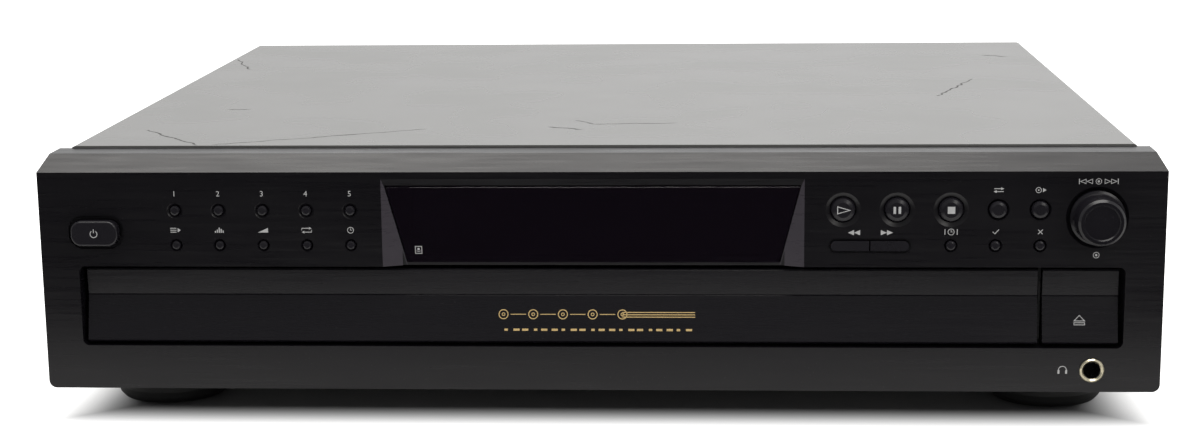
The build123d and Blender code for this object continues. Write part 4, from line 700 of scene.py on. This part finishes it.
def printed(name, shapes, place, body="cabinet", material=WHITE_INK):
    """Thin print on a flat place, its edges closed."""
    maker = bmesh.new()

    def lift(point, top):
        return maker.verts.new(Vector((point[0], point[1], PRINT if top else 0.0)) * MM)

    for outer, inner in shapes:
        loops = [[[lift(p, top) for p in points] for top in (True, False)]
                 for points in (outer, inner) if points]
        for top, bottom in loops:
            for k in range(len(top)):
                after = (k + 1) % len(top)
                maker.faces.new((bottom[k], bottom[after], top[after], top[k]))
        if inner:
            (outer_top, outer_low), (inner_top, inner_low) = loops
            for k in range(len(outer)):
                after = (k + 1) % len(outer)
                maker.faces.new((outer_top[k], outer_top[after], inner_top[after], inner_top[k]))
                maker.faces.new((outer_low[after], outer_low[k], inner_low[k], inner_low[after]))
        else:
            maker.faces.new(loops[0][0])
            maker.faces.new(loops[0][1][::-1])
    bmesh.ops.recalc_face_normals(maker, faces=maker.faces[:])
    mesh = bpy.data.meshes.new(name)
    maker.to_mesh(mesh)
    maker.free()
    mesh.transform(place)
    finish_piece(bpy.data.objects.new(name, mesh), body, material)


def printed_figures(name, figures, body="cabinet", material=WHITE_INK):
    """Plain figures as one piece: (text, height, place) for each."""
    maker = bmesh.new()
    for text, height, place in figures:
        flat = numeral(text, height)
        one = bmesh.new()
        one.from_mesh(flat)
        bmesh.ops.remove_doubles(one, verts=one.verts[:], dist=1e-5)
        grown = bmesh.ops.extrude_face_region(one, geom=one.faces[:])
        raised = [v for v in grown["geom"] if isinstance(v, bmesh.types.BMVert)]
        bmesh.ops.translate(one, verts=raised, vec=(0, 0, PRINT))
        bmesh.ops.recalc_face_normals(one, faces=one.faces[:])
        bmesh.ops.transform(one, matrix=place @ Matrix.Scale(MM, 4), verts=one.verts[:])
        part = bpy.data.meshes.new("figure")
        one.to_mesh(part)
        one.free()
        maker.from_mesh(part)
        bpy.data.meshes.remove(part)
        bpy.data.meshes.remove(flat)
    mesh = bpy.data.meshes.new(name)
    maker.to_mesh(mesh)
    maker.free()
    finish_piece(bpy.data.objects.new(name, mesh), body, material)


def key_place(node):
    """Place on the middle of a key's face."""
    low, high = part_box(node)
    return upright((low.x + high.x) / 2 / MM, low.y / MM, (low.z + high.z) / 2 / MM)


def left_signs():
    """Numbers above the disc keys and a sign above each mode key below them."""
    columns = [DISC_KEYS_X + DISC_KEYS_PITCH * k for k in range(DISCS)]
    numbers = [(str(k + 1), 2.1, to_face(x, NUMBER_Z)) for k, x in enumerate(columns)]
    printed_figures("disc_numbers", numbers)
    signs = (("play_mode_sign", order_sign()), ("peak_search_sign", level_sign()),
             ("fader_sign", fade_sign()), ("repeat_sign", repeat_sign()), ("time_sign", clock_sign()))
    for (name, shapes), x in zip(signs, columns):
        printed(name, shapes, to_face(x, MODE_SIGN_Z))


def right_signs():
    """Signs above the keys on the right, round the knob and beside the headphone socket."""
    signs = (("search_back_sign", search_sign(False), 98.2, SEARCH_SIGN_Z),
             ("search_forward_sign", search_sign(True), 110.6, SEARCH_SIGN_Z),
             ("time_edit_sign", clock_edit_sign(), 134.7, EDIT_SIGN_Z),
             ("check_sign", tick_sign(), 151.4, EDIT_SIGN_Z),
             ("clear_sign", clear_sign(), 168.1, EDIT_SIGN_Z),
             ("exchange_sign", swap_sign(), 152.2, EXCHANGE_SIGN_Z),
             ("disc_skip_sign", next_disc_sign(), 167.9, EXCHANGE_SIGN_Z),
             ("track_skip_sign", skip_signs(), KNOB_X, 81.6),
             ("press_sign", press_sign(), KNOB_X, 53.4),
             ("headphone_sign", headphone_sign(), 178.0, SOCKET_Z))
    for name, shapes, x, z in signs:
        printed(name, shapes, to_face(x, z))


def key_signs():
    """Signs printed on the keys themselves, which move with them."""
    signs = (("play", play_sign()), ("pause", pause_sign()), ("stop", stop_sign()), ("power", power_sign()))
    for name, shapes in signs:
        printed(name + "_sign", shapes, key_place(name + "_button"), name + "_key")
    printed("eject_sign", eject_sign(), to_front(184.2, 27.6), "open_close_key")


def drawer_and_window_prints():
    printed("gold_band", gold_band(), to_front(-2.0, 29.2), "drawer", GOLD_INK)
    printed("gold_rule", gold_rule(), to_front(2.0, 23.4), "drawer", GOLD_INK)
    printed("receiver_sign", receiver_sign(), to_window(RECEIVER_X, RECEIVER_Z))


def turntable_numbers():
    """A number between each pair of wells, read from the turntable's rim."""
    radius, height, step = 142.0, 9.0, 360 / DISCS
    figures = []
    for k in range(DISCS):
        angle = math.radians(90 + step * k + step / 2)
        x, y = TABLE_X + radius * math.cos(angle), TABLE_Y + radius * math.sin(angle)
        place = Matrix.Translation(Vector((x, y, TABLE_TOP)) * MM)
        figures.append((str(k + 1), height, place @ Matrix.Rotation(angle + math.pi / 2, 4, "Z")))
    printed_figures("well_numbers", figures, "turntable", TABLE_INK)


# ---------------------------------------------------------------- screws, winding and legs

def start_tree(name, sizes, counts=()):
    """Empty tree with its sizes in mm, its counts and its finish as named inputs."""
    tree = bpy.data.node_groups.new(name, "GeometryNodeTree")
    face = tree.interface
    face.new_socket("Geometry", in_out="INPUT", socket_type="NodeSocketGeometry")
    for size, value in sizes:
        face.new_socket(size, in_out="INPUT", socket_type="NodeSocketFloat").default_value = value * MM
    for count, value in counts:
        face.new_socket(count, in_out="INPUT", socket_type="NodeSocketInt").default_value = value
    face.new_socket("Finish", in_out="INPUT", socket_type="NodeSocketMaterial")
    face.new_socket("Geometry", in_out="OUTPUT", socket_type="NodeSocketGeometry")
    t = Tree(tree)
    return tree, t, t.node("NodeGroupInput").outputs


def end_tree(tree, t, given, geometry):
    real = t.node("GeometryNodeRealizeInstances", {"Geometry": geometry}).outputs[0]
    done = t.node("GeometryNodeSetMaterial", {"Geometry": real, "Material": given["Finish"]}).outputs[0]
    tree.links.new(done, t.node("NodeGroupOutput").inputs[0])
    return tree


def one_on_each(t, points, instance, axis):
    """An instance on every point, its axis turned to the point's facing attribute."""
    facing = t.node("GeometryNodeInputNamedAttribute", {"Name": "facing"}, data_type="FLOAT_VECTOR")
    turn = t.node("FunctionNodeAlignRotationToVector", {"Vector": facing.outputs[0]}, axis=axis)
    return t.node("GeometryNodeInstanceOnPoints",
                  {"Points": points, "Instance": instance, "Rotation": turn.outputs[0]}).outputs[0]


def screw_tree():
    """Pan-head screws with a crossed recess, one on every vertex, turned to its facing attribute."""
    sizes = (("Head radius", 3.0), ("Head height", 1.8), ("Recess width", 0.8), ("Recess depth", 1.0))
    tree, t, given = start_tree("screws", sizes)
    r, h, w, d = (given[name] for name, _ in sizes)
    lower = t.math("MULTIPLY", h, 0.45)
    upper = t.math("MULTIPLY", h, 0.55)
    rim = t.node("GeometryNodeMeshCylinder", {"Vertices": 28, "Radius": r, "Depth": lower}).outputs["Mesh"]
    rim = t.shifted(rim, t.combine(Z=t.math("MULTIPLY", lower, 0.5)))
    crown = {"Vertices": 28, "Radius Top": t.math("MULTIPLY", r, 0.62), "Radius Bottom": r, "Depth": upper}
    dome = t.node("GeometryNodeMeshCone", crown).outputs["Mesh"]
    dome = t.shifted(dome, t.combine(Z=lower))
    head = t.node("GeometryNodeMeshBoolean", operation="UNION", solver="EXACT")
    tree.links.new(rim, head.inputs["Mesh 2"])
    tree.links.new(dome, head.inputs["Mesh 2"])
    recessed = t.node("GeometryNodeMeshBoolean", {"Mesh 1": head.outputs[0]}, operation="DIFFERENCE",
                      solver="EXACT")
    reach, deep = t.math("MULTIPLY", r, 1.1), t.math("MULTIPLY", d, 2.0)
    for size in (t.combine(X=reach, Y=w, Z=deep), t.combine(X=w, Y=reach, Z=deep)):
        arm = t.node("GeometryNodeMeshCube", {"Size": size}).outputs["Mesh"]
        tree.links.new(t.shifted(arm, t.combine(Z=h)), recessed.inputs["Mesh 2"])
    return end_tree(tree, t, given, one_on_each(t, given["Geometry"], recessed.outputs[0], "Z"))


def winding_tree():
    """Enamelled wire wound round a bobbin: level turns with rounded corners, one above the other."""
    tree, t, given = start_tree("winding", (("Width", 32), ("Length", 42), ("Corner", 5), ("Wire", 0.7)),
                                (("Turns", 30),))
    loop = t.node("GeometryNodeCurvePrimitiveQuadrilateral",
                  {"Width": given["Width"], "Height": given["Length"]})
    curved = t.node("GeometryNodeFilletCurve",
                    {"Curve": loop.outputs[0], "Radius": given["Corner"], "Count": 5}, mode="POLY")
    wire = t.node("GeometryNodeCurvePrimitiveCircle",
                  {"Resolution": 8, "Radius": t.math("MULTIPLY", given["Wire"], 0.5)})
    turn = t.node("GeometryNodeCurveToMesh", {"Curve": curved.outputs[0], "Profile Curve": wire.outputs[0]})
    line = t.node("GeometryNodeMeshLine", {"Count": given["Turns"], "Offset": t.combine(Z=given["Wire"])})
    stacked = t.node("GeometryNodeInstanceOnPoints",
                     {"Points": line.outputs[0], "Instance": turn.outputs[0]}).outputs[0]
    coil = t.node("GeometryNodeInstanceOnPoints", {"Points": given["Geometry"], "Instance": stacked})
    return end_tree(tree, t, given, coil.outputs[0])


def pin_tree():
    """Gull-wing legs of a circuit, one on every vertex: a foot on the board and a riser."""
    tree, t, given = start_tree("legs", (("Reach", 1.4), ("Width", 0.45), ("Rise", 0.9), ("Gauge", 0.2)))
    reach, width, rise, gauge = (given[name] for name in ("Reach", "Width", "Rise", "Gauge"))

    def block(x, z, at):
        cube = t.node("GeometryNodeMeshCube", {"Size": t.combine(X=x, Y=width, Z=z)}).outputs["Mesh"]
        return t.shifted(cube, at)

    foot = block(reach, gauge, t.combine(X=t.math("MULTIPLY", reach, 0.5), Z=t.math("MULTIPLY", gauge, 0.5)))
    riser = block(gauge, rise, t.combine(Z=t.math("MULTIPLY", rise, 0.5)))
    leg = t.node("GeometryNodeJoinGeometry")
    tree.links.new(foot, leg.inputs[0])
    tree.links.new(riser, leg.inputs[0])
    return end_tree(tree, t, given, one_on_each(t, given["Geometry"], leg.outputs[0], "X"))


def set_inputs(modifier, tree, values):
    for item in tree.interface.items_tree:
        if item.item_type == "SOCKET" and item.in_out == "INPUT" and item.name in values:
            modifier[item.identifier] = values[item.name]


def made_by(tree, name, points, facings, values, body, material):
    """Runs a tree over points in mm and keeps the result as a plain mesh."""
    mesh = bpy.data.meshes.new(name)
    mesh.from_pydata([Vector(p) * MM for p in points], [], [])
    facing = mesh.attributes.new("facing", "FLOAT_VECTOR", "POINT")
    for k, direction in enumerate(facings):
        facing.data[k].vector = direction
    holder = bpy.data.objects.new(name + "_points", mesh)
    scene.collection.objects.link(holder)
    modifier = holder.modifiers.new("made", "NODES")
    modifier.node_group = tree
    set_inputs(modifier, tree, {**values, "Finish": material})
    plain = evaluated_mesh(holder)
    holder.modifiers.remove(modifier)
    bpy.data.objects.remove(holder)
    plain.name = name
    finish_piece(bpy.data.objects.new(name, plain), body, material)


def screws(tree, name, points, direction, head=6.0, black=True):
    """Screws of a head's width in mm on the cabinet, all facing one way."""
    values = {"Head radius": head / 2 * MM, "Head height": head * 0.3 * MM, "Recess width": head * 0.14 * MM,
              "Recess depth": head * 0.17 * MM}
    slot, finish = ("cover_paint", SCREW_BLACK) if black else ("plated_steel", SCREW_ZINC)
    made_by(tree, name, points, [direction] * len(points), values, "cabinet", finish)


def all_screws():
    tree = screw_tree()
    small_head, side_z, rear_z = 5.2, 34.0, COVER_TOP - 6.0
    chassis_under = 17.0
    for name, side in (("cover_screws_left", -1), ("cover_screws_right", 1)):
        screws(tree, name, [(side * COVER_SIDE, y, side_z) for y in (-118.0, 150.0)], (side, 0, 0))
    screws(tree, "cover_screws_rear", [(x, REAR, rear_z) for x in (-188, 0, 188)], (0, 1, 0), small_head)
    on_rear = [(x, REAR_FACE, z) for x, z in ((-196, 26), (-110, 24), (40, 24), (196, 26), (160, 58))]
    screws(tree, "rear_panel_screws", on_rear, (0, 1, 0), small_head)
    under = [(x, y, chassis_under)
             for x, y in ((-130, -150), (130, -150), (-120, 165), (60, 165), (0, 20))]
    screws(tree, "chassis_screws", under, (0, 0, -1), small_head, black=False)


def transformer_winding():
    low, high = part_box("power_transformer")
    above_foot = 19.9  # lowest turn above the transformer's underside
    start = ((low.x + high.x) / 2 / MM, (low.y + high.y) / 2 / MM, low.z / MM + above_foot)
    wound = {"Width": 32.4 * MM, "Length": 42.4 * MM, "Corner": 5.2 * MM, "Wire": 0.7 * MM, "Turns": 29}
    made_by(winding_tree(), "coil_winding", [start], [(0, 0, 1)], wound, "cabinet", ENAMEL)


def circuit_legs():
    """Legs along both sides of the main board's circuits."""
    pitch = 1.27
    circuits = ((187.0, -75.0, 18.0, 18.0), (186.0, -49.0, 16.0, 18.0), (148.0, 142.0, 16.0, 16.0))
    feet, facings = [], []
    for x, y, wide, long in circuits:
        count = int(long / pitch) - 1
        for side in (-1, 1):
            for k in range(count):
                feet.append((x + side * wide / 2, y + (k - (count - 1) / 2) * pitch, BOARD_TOP))
                facings.append((side, 0, 0))
    legs = {"Reach": 1.3 * MM, "Width": 0.45 * MM, "Rise": 0.9 * MM, "Gauge": 0.2 * MM}
    made_by(pin_tree(), "circuit_legs", feet, facings, legs, "cabinet", SCREW_ZINC)


def line_out_rings():
    """White and red rings on the collars of the line sockets, and plain letters above them."""
    low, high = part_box("line_out_jacks")
    middle = (low.x + high.x) / 2 / MM
    outer_r, inner_r = 5.2, 4.3
    letter_height, letter_z = 2.4, RCA_Z + 10.5
    band = [(arc_points(0, 0, outer_r), arc_points(0, 0, inner_r))]
    right_x, left_x = middle - RCA_PITCH / 2, middle + RCA_PITCH / 2
    printed("right_ring", band, to_rear(right_x, RCA_Z, REAR), material=RED_RING)
    printed("left_ring", band, to_rear(left_x, RCA_Z, REAR), material=WHITE_RING)
    letters = [(text, letter_height, to_rear(x, letter_z, REAR_FACE))
               for text, x in (("L", left_x), ("R", right_x))]
    printed_figures("line_letters", letters)


# ---------------------------------------------------------------- floor, light and camera

def floor():
    """Pale sheet under the object, white to the camera except below the cabinet, where a shadow is painted:
    a dark grey colour and no glow.
    """
    reach, front, back = 4.0, -0.32, 4.0
    corners = [(-reach, front, 0), (reach, front, 0), (reach, back, 0), (-reach, back, 0)]
    mesh = bpy.data.meshes.new("floor")
    mesh.from_pydata(corners, [], [(0, 1, 2, 3)])
    sheet = bpy.data.objects.new("floor", mesh)
    scene.collection.objects.link(sheet)
    material, tree, shader, where = start_material("floor_paper")
    fibre = tree.noise(where, 1.5, 2.0)
    # Painted shadow below the cabinet: across and along, the floor darkens between these distances in metres
    place = tree.split(where)
    sides = tree.remap(tree.math("ABSOLUTE", place["X"]), 0.188, 0.222)
    before = tree.remap(place["Y"], -0.183, -0.155, 1.0, 0.0)
    beyond = tree.remap(place["Y"], 0.165, 0.205)
    outside_painted_shadow = tree.math("MAXIMUM", sides, tree.math("MAXIMUM", before, beyond))
    outside_painted_shadow = tree.math("POWER", outside_painted_shadow, 1.6)
    paper = tree.mix(fibre, (0.80, 0.80, 0.79, 1), (0.86, 0.86, 0.855, 1))
    # painted shadow: dark grey below the cabinet, pale paper elsewhere
    base = tree.mix(outside_painted_shadow, (0.2, 0.2, 0.205, 1), paper)
    finish_material(tree, shader, base, tree.remap(fibre, 0.3, 0.7, 0.8, 0.95), fibre, 0.02)
    # the glow to the camera is held back in the painted shadow
    glow = tree.node("ShaderNodeEmission", {"Color": (1, 1, 1, 1), "Strength": outside_painted_shadow}).outputs[0]
    added = tree.node("ShaderNodeAddShader", {0: shader.outputs[0], 1: glow}).outputs[0]
    seen = tree.node("ShaderNodeLightPath").outputs["Is Camera Ray"]
    choice = tree.node("ShaderNodeMixShader", {0: seen, 1: shader.outputs[0], 2: added}).outputs[0]
    output = next(node for node in tree.tree.nodes if node.type == "OUTPUT_MATERIAL")
    tree.tree.links.new(choice, output.inputs["Surface"])
    mesh.materials.append(material)


def world():
    """White behind the object, for the camera and in reflections; a dim room on the camera's side."""
    room = bpy.data.worlds.new("studio")
    scene.world = room
    room.use_nodes = True
    room.node_tree.nodes.clear()
    tree = Tree(room.node_tree)
    along = tree.split(tree.node("ShaderNodeTexCoord").outputs["Generated"])
    room_glow = tree.remap(along["Z"], 0.0, 0.22, 0.026, 0.19)
    backdrop = tree.remap(along["X"], -0.34, 0.0, 0.84, 1.0)
    behind = tree.remap(along["Y"], -0.35, 0.15, room_glow, backdrop)
    path = tree.node("ShaderNodeLightPath").outputs
    mirrored_rays = tree.math("MAXIMUM", path["Is Glossy Ray"], path["Is Transmission Ray"])
    strength = tree.mix_value(mirrored_rays, 0.55, behind)
    strength = tree.mix_value(path["Is Camera Ray"], strength, 1.0)
    light = tree.node("ShaderNodeBackground", {"Color": (1, 1, 1, 1), "Strength": strength}).outputs[0]
    tree.tree.links.new(light, tree.node("ShaderNodeOutputWorld").inputs["Surface"])


def area_lamp(name, place, aim, size, power):
    lamp = bpy.data.lights.new(name, "AREA")
    lamp.shape = "RECTANGLE"
    lamp.size, lamp.size_y = size
    lamp.energy = power
    lamp.color = (1.0, 0.975, 0.94)
    holder = bpy.data.objects.new(name, lamp)
    holder.location = place
    holder.rotation_euler = (Vector(aim) - Vector(place)).to_track_quat("-Z", "Y").to_euler()
    scene.collection.objects.link(holder)


def lamps():
    area_lamp("overhead", (-0.1, -0.32, 1.5), (0, -0.1, 0), (1.8, 0.6), 15.0)
    area_lamp("front_fill", (0.9, -1.3, 0.9), (0, 0, 0.05), (0.7, 0.5), 3.0)


def camera():
    data = bpy.data.cameras.new("camera")
    data.sensor_width = 36.0
    data.lens = FOCAL_PX / IMAGE_W * data.sensor_width
    data.shift_y = (CENTRE_ROW - IMAGE_H / 2) / IMAGE_W
    holder = bpy.data.objects.new("camera", data)
    scene.collection.objects.link(holder)
    level = math.cos(CAMERA_PITCH)
    forward = Vector((math.sin(CAMERA_YAW) * level, math.cos(CAMERA_YAW) * level, -math.sin(CAMERA_PITCH)))
    right = Vector((math.cos(CAMERA_YAW), -math.sin(CAMERA_YAW), 0))
    upward = right.cross(forward)
    right_rolled = right * math.cos(CAMERA_ROLL) + upward * math.sin(CAMERA_ROLL)
    up_rolled = upward * math.cos(CAMERA_ROLL) - right * math.sin(CAMERA_ROLL)
    holder.matrix_world = Matrix((
        (right_rolled.x, up_rolled.x, -forward.x, CAMERA[0] * MM),
        (right_rolled.y, up_rolled.y, -forward.y, CAMERA[1] * MM),
        (right_rolled.z, up_rolled.z, -forward.z, CAMERA[2] * MM),
        (0, 0, 0, 1)))
    scene.camera = holder


camera()
left_signs()
right_signs()
key_signs()
drawer_and_window_prints()
turntable_numbers()
all_screws()
line_out_rings()
transformer_winding()
circuit_legs()
floor()
world()
lamps()
scene.view_settings.view_transform = "Standard"
